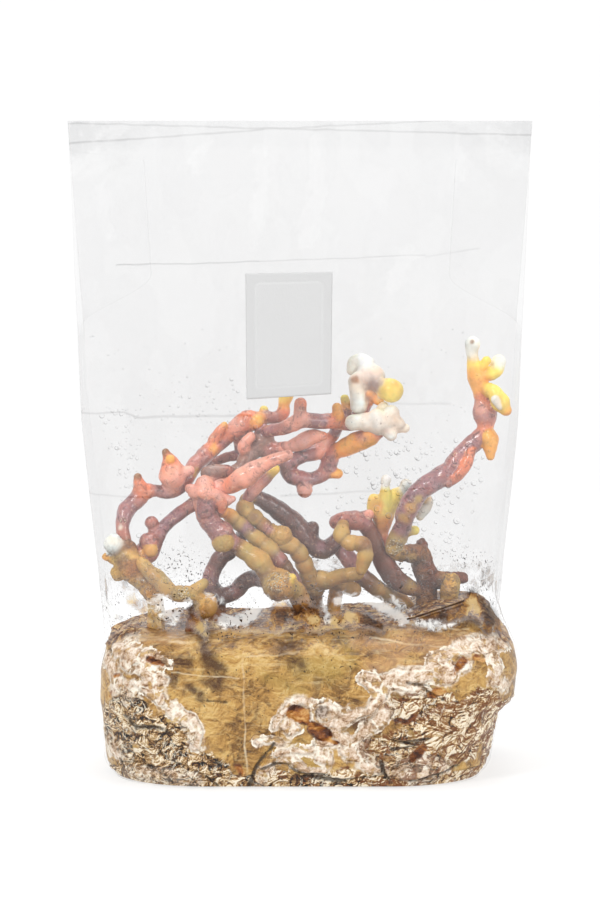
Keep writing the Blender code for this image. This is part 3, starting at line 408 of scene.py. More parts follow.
# Balls of white crust: x, y, z and radius
CRUST_SPOTS = [
    (-12, -34, 105, 6.5), (-7, -31, 107, 3.5), (52, -1, 119, 6), (-95, -30, 137, 3), (-6, -17, 124, 3),
    (-80, -45, 108, 3), (-62, -46, 101, 4),
]
# What one step warmer does to a tone
WARMER = np.array([1.10, 0.95, 0.85])
# How rough and crusty each antler is, from 0 to 1
CRUST = {"left_mound": 0.8, "right_rough": 1.0, "left_low_stem": 0.5, "low_branch": 0.25, "hub_stem": 0.15}


class Value:
    """A shader socket. Arithmetic on it adds Math nodes."""

    def __init__(self, shader, socket):
        self.shader = shader
        self.socket = socket

    def __add__(self, other):
        return self.shader.math("ADD", self, other)

    __radd__ = __add__

    def __sub__(self, other):
        return self.shader.math("SUBTRACT", self, other)

    def __rsub__(self, other):
        return self.shader.math("SUBTRACT", other, self)

    def __mul__(self, other):
        return self.shader.math("MULTIPLY", self, other)

    __rmul__ = __mul__

    def __pow__(self, other):
        return self.shader.math("POWER", self, other)


class Shader:
    """One material's node tree, with a Principled shader at its end."""

    def __init__(self, name):
        self.material = bpy.data.materials.new(name)
        self.material.use_nodes = True
        self.tree = self.material.node_tree
        self.tree.nodes.clear()
        self.output = self.tree.nodes.new("ShaderNodeOutputMaterial")

    def node(self, kind, settings=None, inputs=None, output=0):
        """Add a node, set its settings, then its sockets' values or links."""
        node = self.tree.nodes.new(kind)
        for name, setting in (settings or {}).items():
            if name == "stops":
                ramp = node.color_ramp
                while len(ramp.elements) < len(setting):
                    ramp.elements.new(0.5)
                for element, (position, colour) in zip(ramp.elements, setting):
                    element.position = position
                    element.color = (*colour, 1.0)
            else:
                setattr(node, name, setting)
        for key, value in (inputs or {}).items():
            socket = node.inputs[key]
            if isinstance(value, Value):
                self.tree.links.new(value.socket, socket)
            elif isinstance(value, (tuple, list)) and len(value) == 3 and socket.type == "RGBA":
                socket.default_value = (*value, 1.0)
            else:
                socket.default_value = value
        return Value(self, node.outputs[output])

    def math(self, operation, first, second, clamp=False):
        """One Math node on two values."""
        return self.node("ShaderNodeMath", {"operation": operation, "use_clamp": clamp},
                         {0: first, 1: second})

    def place(self, scale=(1.0, 1.0, 1.0), shift=(0.0, 0.0, 0.0)):
        """Object coordinates in millimetres, stretched by scale and moved by shift."""
        here = self.node("ShaderNodeTexCoord", output=3)
        size = tuple(1000.0 * value for value in scale)
        return self.node("ShaderNodeMapping", None, {"Vector": here, "Scale": size, "Location": shift})

    def noise(self, place, wave, detail=2.0, rough=0.5, warp=0.0):
        """Fractal noise from 0 to 1 whose swells are wave millimetres long."""
        return self.node("ShaderNodeTexNoise", None,
                         {"Vector": place, "Scale": 1.0 / wave, "Detail": detail, "Roughness": rough,
                          "Distortion": warp})

    def cells(self, place, size, feature="F1"):
        """Distance to the nearest point or edge of cells of that size, in cells."""
        return self.node("ShaderNodeTexVoronoi", {"feature": feature},
                         {"Vector": place, "Scale": 1.0 / size})

    def attribute(self, name, channel=None):
        """A colour stored at the mesh's points, or one channel of it."""
        colour = self.node("ShaderNodeAttribute", {"attribute_name": name}, output=0)
        if channel is None:
            return colour
        return self.node("ShaderNodeSeparateColor", None, {"Color": colour}, output=channel)

    def step(self, value, low, high):
        """0 below low, 1 above high, and smooth between."""
        return self.node("ShaderNodeMapRange", {"interpolation_type": "SMOOTHSTEP"},
                         {"Value": value, "From Min": low, "From Max": high})

    def ridge(self, value):
        """Crests where the value passes through a half."""
        return 1.0 - self.math("ABSOLUTE", 2.0 * value - 1.0, 0.0) * 2.2

    def blend(self, factor, first, second, mode="MIX"):
        """Two colours mixed by factor."""
        return self.node("ShaderNodeMix", {"data_type": "RGBA", "blend_type": mode, "clamp_factor": True},
                         {0: factor, 6: first, 7: second}, output=2)

    def parts(self, place):
        """The x, y and z of a place."""
        return [self.node("ShaderNodeSeparateXYZ", None, {"Vector": place}, output=i) for i in range(3)]

    def vector_math(self, operation, inputs, output=0):
        """One Vector Math node."""
        return self.node("ShaderNodeVectorMath", {"operation": operation}, inputs, output)

    def gap_to(self, flat, run):
        """Distance from a place in the front view to the nearest of a run's straight pieces."""
        nearest = None
        for (x0, z0), (x1, z1) in zip(run, run[1:]):
            right, up = x1 - x0, z1 - z0
            size = right * right + up * up
            away = self.vector_math("SUBTRACT", {0: flat, 1: (x0, 0.0, z0)})
            share = self.vector_math("DOT_PRODUCT", {0: away, 1: (right / size, 0.0, up / size)}, output=1)
            share = self.math("MULTIPLY", share, 1.0, clamp=True)
            foot = self.vector_math("SCALE", {0: (right, 0.0, up), "Scale": share})
            gap = self.vector_math("DISTANCE", {0: away, 1: foot}, output=1)
            nearest = gap if nearest is None else self.math("MINIMUM", nearest, gap)
        return nearest

    def drawn_lines(self, flat, runs):
        """Lines along the runs: strongest in their middle, gone past their half width."""
        total = 0.0
        for strength, width, *run in runs:
            total = self.step(self.gap_to(flat, run), width, 0.1 * width) * strength + total
        return total

    def ramp(self, value, stops):
        """A colour for each value, between (position, colour) stops."""
        return self.node("ShaderNodeValToRGB", {"stops": stops}, {"Fac": value})

    def bump(self, height, distance, strength=1.0):
        """Surface normals bent by a height from 0 to 1, distance metres deep."""
        return self.node("ShaderNodeBump", None,
                         {"Height": height, "Distance": distance, "Strength": strength})

    def principled(self, inputs):
        """The usual surface shader."""
        return self.node("ShaderNodeBsdfPrincipled", None, inputs)

    def film_over(self, factor, surface):
        """Clear where the factor is 0, and the surface where it is 1."""
        clear = self.node("ShaderNodeBsdfTransparent", None, {"Color": (1.0, 1.0, 1.0)})
        return self.finish(self.node("ShaderNodeMixShader", None, {0: factor, 1: clear, 2: surface}))

    def finish(self, surface):
        """Link the surface to the output, and give the material."""
        self.tree.links.new(surface.socket, self.output.inputs["Surface"])
        return self.material


def linear(colour):
    """sRGB to linear light."""
    colour = np.asarray(colour, dtype=float)
    return np.where(colour <= 0.04045, colour / 12.92, ((colour + 0.055) / 1.055) ** 2.4)


def tint(red, green, blue):
    """A colour given as sRGB, in linear light."""
    return tuple(float(value) for value in linear((red, green, blue)))


def smooth(value, low, high):
    """Smooth step from 0 at low to 1 at high."""
    share = np.clip((value - low) / (high - low), 0.0, 1.0)
    return share * share * (3.0 - 2.0 * share)


def hump(value, middle, reach):
    """A soft bump of height 1 at the middle: the exponential of minus the square of the
    distance in reaches."""
    return np.exp(-((value - middle) / reach) ** 2)


LATTICE_VALUES = np.random.default_rng(11).random(4096)
LATTICE_PRIMES = (73856093, 19349663, 83492791)
SEED_PRIME = 2654435


def lattice_noise(points, seed=0):
    """Value noise from 0 to 1: random values on a unit lattice, blended along each axis."""
    base = np.floor(points).astype(np.int64)
    part = points - base
    ease = part * part * (3.0 - 2.0 * part)
    total = np.zeros(points.shape[:-1])
    for corner in range(8):
        offset = np.array([(corner >> axis) & 1 for axis in range(3)])
        keys = (base + offset) * np.array(LATTICE_PRIMES)
        key = keys[..., 0] ^ keys[..., 1] ^ keys[..., 2] ^ (seed * SEED_PRIME)
        value = LATTICE_VALUES[key & (len(LATTICE_VALUES) - 1)]
        total += value * np.prod(np.where(offset == 1, ease, 1.0 - ease), axis=-1)
    return total


def octaves_of_noise(points, wave, octaves, seed, slide, shape):
    """The mean of lattice noises from -1 to 1, each put through shape, half as long as the
    last and half as strong."""
    total = np.zeros(points.shape[:-1])
    size = 1.0
    reach = 0.0
    for octave in range(octaves):
        places = points / wave * 2.0 ** octave + slide * octave
        total += size * shape(2.0 * lattice_noise(places, seed + octave) - 1.0)
        reach += size
        size *= 0.5
    return total / reach


def swell(points, wave, octaves=3, seed=0):
    """Fractal noise from -1 to 1, its longest swells wave millimetres long."""
    return octaves_of_noise(points, wave, octaves, seed, 17.3, lambda value: value)


def ridge(points, wave, octaves=3, seed=0):
    """Ridged noise from 0 to 1: sharp crests where the swells change sign."""
    return octaves_of_noise(points, wave, octaves, seed, 9.7, lambda value: 1.0 - np.abs(value))


def wandering(points, wave, seed):
    """Noise vectors in the front view, which make straight runs wander."""
    across = swell(points, wave, 3, seed=seed)
    return np.stack([across, np.zeros_like(across), swell(points, wave, 3, seed=seed + 1)], axis=-1)


def new_object(name, mesh, material):
    """An object at the origin with that mesh and material."""
    piece = bpy.data.objects.new(name, mesh)
    bpy.context.scene.collection.objects.link(piece)
    mesh.materials.clear()
    mesh.materials.append(material)
    return piece


def mesh_from(name, points, faces):
    """A smooth shaded mesh from points in millimetres and a list of faces."""
    mesh = bpy.data.meshes.new(name)
    mesh.from_pydata((points * MM).tolist(), [], faces)
    shade_smooth(mesh)
    mesh.update()
    return mesh


def shade_smooth(mesh):
    """Smooth shading on every face."""
    mesh.polygons.foreach_set("use_smooth", np.ones(len(mesh.polygons), dtype=bool))


def grid_faces(rows, columns, closed=True):
    """Quads between neighbouring rows; the columns join up where closed."""
    row = np.arange(rows - 1)[:, None]
    column = np.arange(columns if closed else columns - 1)[None, :]
    right = (column + 1) % columns
    corners = [row * columns + column, row * columns + right,
               (row + 1) * columns + right, (row + 1) * columns + column]
    shape = (rows - 1, column.shape[1])
    return np.stack([np.broadcast_to(corner, shape) for corner in corners], axis=-1).reshape(-1, 4)


def point_attribute(mesh, name, *channels):
    """Store up to three arrays of values a point as one colour attribute."""
    colour = np.ones((len(mesh.vertices), 4))
    for channel, values in enumerate(channels):
        colour[:, channel] = values.ravel()
    layer = mesh.attributes.new(name, "FLOAT_COLOR", "POINT")
    layer.data.foreach_set("color", colour.astype(np.float32).ravel())


def grid_normals(grid):
    """Unit normals of a grid of points that closes along its columns."""
    along = np.roll(grid, -1, axis=1) - np.roll(grid, 1, axis=1)
    up = np.gradient(grid, axis=0)
    normal = np.cross(along, up)
    length = np.linalg.norm(normal, axis=-1, keepdims=True)
    return normal / np.maximum(length, 1e-9)


def rounded_profile(heights, column):
    """A column of the bag's levels at those heights, with its corners rounded over 3 mm."""
    shifts = np.linspace(-3.0, 3.0, 7)
    values = [np.interp(np.clip(heights + shift, 0.0, BAG_HEIGHT), BAG_LEVELS[:, 0], BAG_LEVELS[:, column])
              for shift in shifts]
    return np.mean(values, axis=0)


def panel_columns(columns):
    """1 for the columns of the front and back panels, 0 for those of the side panels."""
    quarter = np.concatenate([np.ones(PANEL_STEPS + CORNER_STEPS), np.zeros(SIDE_STEPS + 1)])
    ring = np.concatenate([quarter, quarter[-2::-1], quarter[1:], quarter[-2:0:-1]])
    return ring[:columns]


def film_quarter(column, sign, heights, inset, steps):
    """A quarter of each ring: half a panel that bulges to its middle, a round corner, and
    half a side that folds in to its apex, as (x, depth) pairs."""
    panel_steps, corner_steps, side_steps = steps
    depth = rounded_profile(heights, 3)
    gusset = GUSSET_FOLD * smooth(heights, FOLD_START, FOLD_START + FOLD_RUN)
    gusset = np.where(heights > SEAL_START, 0.0, gusset)
    gusset = gusset * (1.0 - smooth(heights, SEAL_START - 6.0, SEAL_START))
    edge = depth * np.interp(heights, [LEAN_START, FOLD_START], [1.0, PANEL_EDGE_SHARE]) - inset
    middle = depth - inset
    radius = np.interp(heights, CORNER_HEIGHTS, CORNER_RADII)
    radius = np.minimum(np.maximum(radius - inset, 0.3), 0.7 * edge)
    apex = np.abs(rounded_profile(heights, column)) - gusset - inset
    width = apex + gusset
    x = (width - radius) * np.arange(panel_steps)[None, :] / panel_steps
    bulge = 1.0 - (np.maximum(x - PANEL_FLAT, 0.0) / (width - PANEL_FLAT)) ** 2
    panel = np.stack([sign * x, edge + (middle - edge) * bulge], axis=-1)
    angle = np.linspace(0.0, math.pi / 2.0, corner_steps + 1)[None, :]
    corner = np.stack([sign * (width - radius + radius * np.sin(angle)),
                       edge - radius + radius * np.cos(angle)], axis=-1)
    share = (np.arange(side_steps)[None, :] + 1.0) / side_steps
    side = np.stack([sign * (width + (apex - width) * share), (edge - radius) * (1.0 - share)], axis=-1)
    return np.concatenate([panel, corner, side], axis=1)


def film_rings(heights, inset, steps=(PANEL_STEPS, CORNER_STEPS, SIDE_STEPS)):
    """Rings of film points, one a height: the right and the left quarter, mirrored to the
    back."""
    heights = np.asarray(heights, dtype=float)[:, None]
    right = film_quarter(2, 1.0, heights, inset, steps)
    left = film_quarter(1, -1.0, heights, inset, steps)
    mirror = np.array([1.0, -1.0])
    ring = np.concatenate(
        [right * mirror, right[:, -2::-1], left[:, 1:], left[:, -2:0:-1] * mirror], axis=1)
    level = np.broadcast_to(heights, ring.shape[:2])
    return np.concatenate([ring, level[..., None]], axis=-1)


# Where the film crumples against the block's brow, and how far above and below
CRUMPLE_HEIGHT = 96.0
CRUMPLE_REACH = 15.0
# Creases in the front film: start x, z, end x, z, height and half width in millimetres
FRONT_CREASES = [
    (-98, 271.5, -10, 274, 0.5, 0.8),
    (-10, 274, 68, 276, 0.5, 0.8),
    (-112, 189, -92, 193, 0.5, 1.0),
    (-92, 193, -82, 188.5, 0.6, 1.0),
    (-82, 188.5, -32, 190, 0.4, 1.2),
    (27, 196, 82, 196, 0.4, 1.2),
    (40, 108, 104, 111, 0.4, 1.4),
]
# Glare on the front film just above the block, painted white: half width, then the points (x, z)
FILM_GLARE = [
    (4.2, (-40, 89), (-31, 90), (-24, 93), (-20, 98)), (4.2, (-73, 99), (-68, 91)),
    (3.1, (-61, 99), (-65, 89)), (3.6, (22, 101), (32, 100), (41, 97), (48, 93), (54, 90)),
    (2.1, (58, 89), (72, 87), (81, 89)), (3.6, (-102, 94), (-98, 89)),
    (0.7, (-92, 107), (-82, 97), (-70, 88)), (0.6, (-87, 102), (-78, 96), (-66, 91)),
    (0.6, (-86, 111), (-76, 102), (-72, 93)), (2.6, (11, 99), (14, 91)), (2.1, (49, 100), (56, 94)),
    (1.6, (-49, 102), (-37, 98)),
]
# Sawdust smeared on the front film, the same way
FILM_DIRT = [
    (1.3, (-96, 87), (-60, 86), (-20, 85.5), (20, 86), (58, 86)), (3.0, (-57, 97), (-54, 89), (-50, 82)),
    (4.0, (64, 90), (78, 93), (88, 97)), (5.0, (90, 101), (98, 91), (103, 83)),
    (4.2, (20, 91), (34, 89), (42, 86)), (6.0, (-12, 91), (0, 94), (6, 89)), (2.5, (-88, 99), (-80, 92)),
    (1.6, (-4, 93), (2, 92)), (2.6, (-66, 88), (-60, 86)), (0.8, (-93, 108), (-84, 98), (-76, 87)),
    (0.6, (-85, 104), (-76, 95), (-69, 87)),
]


def crease_field(points, creases):
    """Height of narrow ridges along straight runs in the front view."""
    total = np.zeros(points.shape[:-1])
    flat = points[..., [0, 2]]
    for x0, z0, x1, z1, height, width in creases:
        start = np.array([x0, z0])
        run = np.array([x1, z1]) - start
        share = np.clip(((flat - start) @ run) / (run @ run), 0.0, 1.0)
        distance = np.linalg.norm(flat - start - share[..., None] * run, axis=-1)
        total += height * hump(distance, 0.0, width) * (0.5 + 0.5 * np.sin(share * math.pi))
    return total


def film_grid():
    """Rings of film points from the middle of the base up to the cut top edge."""
    heights = np.concatenate([np.linspace(0.0, 80.0, 66)[:-1], np.linspace(80.0, 132.0, 52)[:-1],
                              np.linspace(132.0, 240.0, 54)[:-1], np.linspace(240.0, BAG_HEIGHT, 60)])
    rings = film_rings(heights, 0.0)
    shares = np.linspace(0.02, 1.0, 8)[:-1]
    base = rings[0][None] * np.array([1.0, 1.0, 0.0]) * shares[:, None, None]
    return np.concatenate([base, rings], axis=0)


def film_relief(rings, front, inner_side, fine):
    """How far the film stands out: broad swells where it hangs free, crumples where it meets
    the block, lines pressed at the seal, and its fine creases. It lies flat under the patch
    and inside the side folds."""
    x, z = rings[..., 0], rings[..., 2]
    open_zone = smooth(z, 84.0, 120.0) * (1.0 - smooth(z, 318.0, 338.0))
    room = smooth(np.interp(z, BAG_LEVELS[:, 0], BAG_LEVELS[:, 3]), 3.0, 26.0)
    broad = 1.5 * room * swell(rings * np.array([1.0, 1.0, 0.6]), 55.0, 2, seed=3)
    crumple = 2.2 * (ridge(rings * np.array([1.0, 1.0, 0.55]), 17.0, 3, seed=5) - 0.55)
    side = smooth(np.abs(x), 100.0, 116.0)
    shift = open_zone * broad * (1.0 - 0.7 * side) + hump(z, CRUMPLE_HEIGHT, CRUMPLE_REACH) * crumple + fine
    for height, slope in SEAL_LINES:
        shift -= 0.25 * hump(z, height + slope * x, SEAL_LINE_WIDTH)
    wrap = (1.0 - smooth(z, 76.0, 90.0)) * smooth(z, 1.0, 6.0)
    shift += wrap * 0.5 * (ridge(rings, 9.0, 2, seed=21) - 0.6)
    patch = smooth(np.abs(x - PATCH_CENTRE[0]), 34.0, 26.0)
    patch = patch * smooth(np.abs(z - PATCH_CENTRE[1]), 46.0, 36.0)
    return shift * (1.0 - patch * front) * (1.0 - smooth(z, FOLD_START - 14.0, FOLD_START) * inner_side)


def film_haze(rings, grid, front, inner_side, wander):
    """How milky the film is: clear on the block, hazy above it, patchy, clearer along some
    streaks, and greyer and fanned at the upper corners, the grey being painted shade. The folded sides add
    next to nothing."""
    z = rings[..., 2]
    folded_in = smooth(z, FOLD_START - 6.0, FOLD_START + 6.0) * inner_side
    unfolded = 1.0 - 0.97 * folded_in
    haze = (0.008 + 0.150 * smooth(z, 88.0, 108.0)) * unfolded + 0.02 * smooth(z, 333.0, 338.0)
    facet = smooth(swell(grid * np.array([1.0, 1.0, 0.45]), 14.0, 2, seed=23), 0.0, 0.05)
    clearer = front * smooth(runs_field(grid + 7.0 * wander, CLEAR_STREAKS, 3.0), 0.5, 0.9)
    haze *= 1.05 + 0.30 * swell(grid, 42.0, 3, seed=25) - 0.16 * facet - 0.45 * clearer
    apex = inner_side * hump(rings[..., 1], 0.0, 0.9)
    haze += 0.012 * apex * smooth(z, 262.0, 275.0) * (1.0 - smooth(z, 300.0, 322.0))
    out = np.abs(grid[..., 0])
    # Painted shade: the veil thickens towards the upper corners, fanned in stripes.
    corner = smooth(0.5 * out + 0.7 * (z - 300.0), 58.0, 94.0)
    corner = corner * np.interp(grid[..., 0], [-60.0, 60.0], [0.5, 0.3])
    slant = np.stack([0.58 * out + 0.81 * z, 0.14 * z - 0.2 * out, np.zeros_like(z)], axis=-1)
    fan = swell(slant, 5.0, 3, seed=27)
    haze += corner * (0.10 + 0.14 * smooth(-fan, 0.03, 0.12) - 0.10 * smooth(fan, 0.05, 0.14)) * unfolded
    return haze


def bag_film():
    """The film: rings of points pushed in and out by its relief, with its haze, painted glare,
    dust and dirt stored at each point."""
    rings = film_grid()
    x, z = rings[..., 0], rings[..., 2]
    front = smooth(-rings[..., 1], -2.0, 2.0)
    inner_side = 1.0 - np.broadcast_to(panel_columns(rings.shape[1]), z.shape)
    creases = crease_field(rings, FRONT_CREASES) * front
    pucker_zone = smooth(z, 320.0, 334.0) * (0.35 + 0.65 * smooth(np.abs(x), 70.0, 115.0))
    pucker = 0.45 * swell(rings * np.array([1.0, 1.0, 0.12]), 5.0, 2, seed=8) * pucker_zone
    shift = film_relief(rings, front, inner_side, creases + pucker)
    grid = rings + grid_normals(rings) * shift[..., None]
    grid[..., 2] = np.clip(grid[..., 2], 0.0, BAG_HEIGHT)
    mesh = mesh_from("bag_film", grid.reshape(-1, 3), grid_faces(*grid.shape[:2]).tolist())
    wander = wandering(rings, 10.0, 91)
    haze = film_haze(rings, grid, front, inner_side, wander)
    haze += 0.05 * np.clip(creases, 0.0, 1.0) + 0.08 * np.clip(pucker, 0.0, 0.4)
    elsewhere = (1.0 - front) * hump(z, CRUMPLE_HEIGHT, CRUMPLE_REACH)
    # Painted glare: white on the front film above the block, and patchy on its other sides where it meets
    # the block.
    glare = front * runs_field(grid + 3.0 * wander, FILM_GLARE, FIELD_REACH)
    glare = np.maximum(glare, elsewhere * np.clip(0.35 + 0.6 * swell(grid, 20.0, 3, seed=15), 0.0, 1.0))
    dirt = front * runs_field(grid + 4.0 * wander, FILM_DIRT, FIELD_REACH)
    dirt = np.maximum(dirt, elsewhere * np.clip(0.3 + 0.7 * swell(grid, 24.0, 3, seed=17), 0.0, 1.0))
    dust = smooth(hump(z, 93.0, 14.0), 0.04, 0.5) * smooth(swell(grid, 14.0, 3, seed=29), -0.10, 0.12)
    earth_tone = 0.5 + swell(grid, 9.0, 2, seed=31) - 0.22 * smooth(grid[..., 0], 48.0, 66.0) * front
    point_attribute(mesh, "film", haze, glare, dust)
    point_attribute(mesh, "soil", dirt, earth_tone, front)
    return mesh


# Lines in the front film, drawn dark grey: the seal's pressed lines, and lines along the creases that are
# painted dark reflections and shade: strength, half width, then the points (x, z)
FILM_LINES = [
    (0.042, 0.9, (-125, 348.8), (-11, 345.8), (124, 342.4)),
    (0.042, 0.9, (-126, 337.6), (-22, 345.3), (82, 350.4)), (0.085, 0.6, (-97.6, 273.2), (-22, 275.0)),
    (0.045, 0.6, (-22, 275.0), (67, 278.6)), (0.03, 0.7, (67, 277.6), (96, 282.0)),
    (0.06, 0.8, (-122, 195), (-92.8, 196.2), (-85.8, 193.4)), (0.045, 1.2, (-85.8, 193.4), (-26, 194.4)),
    (0.03, 1.2, (26.5, 200), (79.5, 200.6)), (0.035, 1.0, (-112, 153), (-79, 152)),
    (0.035, 1.0, (-10, 152.6), (68, 156.7)),
]
# Folds of film above the block, drawn as dark lines of painted shade, the same way
FILM_FOLDS = [
    (0.6, 0.9, (56.4, 89.6), (86, 98.5)), (0.35, 0.8, (59, 89.0), (86, 96.5)),
]
# Clearer streaks in the front film: half width, then the points (x, z)
CLEAR_STREAKS = [
    (4.5, (-22, 332), (-23, 300), (-28, 284)), (5.5, (11, 338), (8, 308), (2, 286)),
    (4.5, (-107, 312), (-103, 292)), (3.5, (85, 342), (84, 322)), (3.5, (-53, 338), (-56, 322)),
    (5.0, (56, 276), (48, 262)),
]


def clear_film():
    """Clear film: mostly see-through, with creases, seal lines, painted white glare, dust and
    smeared sawdust above the block, and dark lines of painted shade in its creases and folds."""
    s = Shader("clear_film")
    place = s.place()
    veil = s.attribute("film", 0)
    glare = s.attribute("film", 1)
    dusty = s.attribute("film", 2)
    dirt = s.attribute("soil", 0)
    tone = s.attribute("soil", 1)
    front = s.attribute("soil", 2)
    wander = s.node("ShaderNodeTexNoise", None,
                    {"Vector": place, "Scale": 1.0 / 14.0, "Detail": 1.0}, output=1)
    flat = s.vector_math("MULTIPLY_ADD", {
        0: wander, 1: (1.6, 0.0, 1.6), 2: s.place((1.0, 0.0, 1.0), (-0.8, 0.0, -0.8))})
    lines = s.drawn_lines(flat, FILM_LINES) * front
    painted_fold_shade = s.drawn_lines(flat, FILM_FOLDS) * front
    facing = s.node("ShaderNodeLayerWeight", None, {"Blend": 0.28}, output=1)
    fray = s.noise(place, 5.0, 4.0, 0.65, 0.9) - 0.5
    # shine is painted glare: the film turns near white and more opaque there.
    shine = s.step(glare + 0.9 * fray, 0.44, 0.72)
    soil = s.step(dirt + 0.9 * fray, 0.34, 0.74)
    earth = s.ramp(0.55 * tone + 0.9 * fray + 0.24, [
        (0.36, tint(0.16, 0.08, 0.04)), (0.48, tint(0.40, 0.25, 0.13)), (0.60, tint(0.66, 0.49, 0.27)),
        (0.72, tint(0.84, 0.72, 0.50))])
    dust = s.step(s.noise(place, 1.5, 1.0, 0.6), 0.63, 0.68) * dusty
    factor = veil + 0.16 * facing ** 4.0 + lines + 0.46 * shine + 0.85 * dust + painted_fold_shade + 0.66 * soil
    factor = s.math("MINIMUM", s.math("MAXIMUM", factor, 0.004), 0.9)
    colour = s.blend(shine, tint(0.73, 0.73, 0.735), tint(0.96, 0.96, 0.95))
    # Dark grey: the seal's pressed lines, and painted shade along the creases.
    colour = s.blend(s.step(lines, 0.005, 0.04), colour, tint(0.25, 0.25, 0.26))
    colour = s.blend(soil * (1.0 - 0.8 * shine), colour, earth)
    # Dark brown: real dust, and painted shade along the folds.
    colour = s.blend(s.math("MAXIMUM", dust, painted_fold_shade * 2.0), colour, tint(0.20, 0.13, 0.08))
    plastic = s.principled({
        "Base Color": colour, "Roughness": 0.34, "IOR": 1.22, "Specular IOR Level": 0.2})
    return s.film_over(factor, plastic)


def patch_grid(share_x, share_z):
    """The patch's front sheet at shares from -1 to 1 across and up: it swells to the plate's
    thickness, sinks at the weld line and waves a little. Gives the points and the distance
    outside the weld line."""
    half_width, half_height = PATCH_SIZE[0] / 2.0, PATCH_SIZE[1] / 2.0
    x = share_x * half_width
    z = share_z * half_height
    past_x = np.abs(x) - (half_width - WELD_MARGINS[0]) + WELD_CORNER
    past_z = np.abs(z) - (half_height - WELD_MARGINS[1]) + WELD_CORNER
    weld = np.hypot(np.maximum(past_x, 0.0), np.maximum(past_z, 0.0))
    weld += np.minimum(np.maximum(past_x, past_z), 0.0) - WELD_CORNER
    height = PATCH_THICKNESS - 0.16 * hump(weld, 0.0, 0.45) + 0.05 * smooth(-weld, 0.0, 1.0)
    to_edge = np.minimum(half_width - np.abs(x), half_height - np.abs(z))
    height *= smooth(to_edge, -0.2, 0.35)
    wave = 0.12 * swell(np.stack([x, np.zeros_like(x), z], axis=-1), 14.0, 2, seed=31)
    return np.stack([x, -(height + 0.3 + wave), z], axis=-1), weld


def filter_patch():
    """A thin plate: a front and a back sheet joined round their rim, sheared to climb to the
    right, and leaned back onto the panel."""
    along = np.linspace(-1.0, 1.0, 121)
    share_x, share_z = np.meshgrid(along, along)
    front, weld = patch_grid(share_x, share_z)
    back = front * np.array([1.0, 0.0, 1.0]) - np.array([0.0, 0.25, 0.0])
    rows, columns = share_x.shape
    count = rows * columns
    points = np.concatenate([front.reshape(-1, 3), back.reshape(-1, 3)])
    rim = np.concatenate([np.arange(columns), np.arange(1, rows) * columns + columns - 1,
                          (rows - 1) * columns + np.arange(columns - 2, -1, -1),
                          np.arange(rows - 2, 0, -1) * columns])
    following = np.roll(rim, -1)
    wall = np.stack([rim, rim + count, following + count, following], axis=-1)
    faces = grid_faces(rows, columns, closed=False)
    faces = np.concatenate([faces, faces[:, ::-1] + count, wall])
    across = np.tile(share_x.ravel(), 2)
    up = np.tile(share_z.ravel(), 2)
    points[:, 0] *= 1.0 + 0.017 * up
    points[:, 2] += PATCH_RISE * points[:, 0] - 0.015 * PATCH_SIZE[1] / 2.0 * across * up
    cosine, sine = math.cos(PANEL_LEAN), math.sin(PANEL_LEAN)
    tilt = np.array([[1.0, 0.0, 0.0], [0.0, cosine, sine], [0.0, -sine, cosine]])
    middle_x, middle_z = PATCH_CENTRE
    depth = np.interp(middle_z, BAG_LEVELS[:, 0], BAG_LEVELS[:, 3])
    points = points @ tilt.T + np.array([middle_x, -depth, middle_z])
    mesh = mesh_from("filter_patch", points, faces.tolist())
    weld = np.tile(weld.ravel(), 2)
    point_attribute(mesh, "weld", smooth(-weld, -0.3, 0.3), hump(weld, 0.0, 0.5))
    return mesh


def filter_membrane():
    """Light grey non-woven membrane with a slightly paler field inside its weld line."""
    s = Shader("filter_membrane")
    place = s.place()
    field = s.attribute("weld", 0)
    line = s.attribute("weld", 1)
    fibre = s.noise(s.place((1.0, 1.0, 0.35)), 0.9, 4.0, 0.7)
    cloud = s.noise(place, 16.0, 3.0)
    colour = s.blend(field, tint(0.757, 0.757, 0.757), tint(0.768, 0.768, 0.768))
    colour = s.blend(line * 0.5, colour, tint(0.80, 0.80, 0.80))
    colour = s.blend(cloud * 0.25, colour, tint(0.73, 0.73, 0.73))
    normal = s.bump(fibre, 0.00025, 0.5)
    return s.finish(s.principled({"Base Color": colour, "Roughness": 0.62, "Normal": normal}))


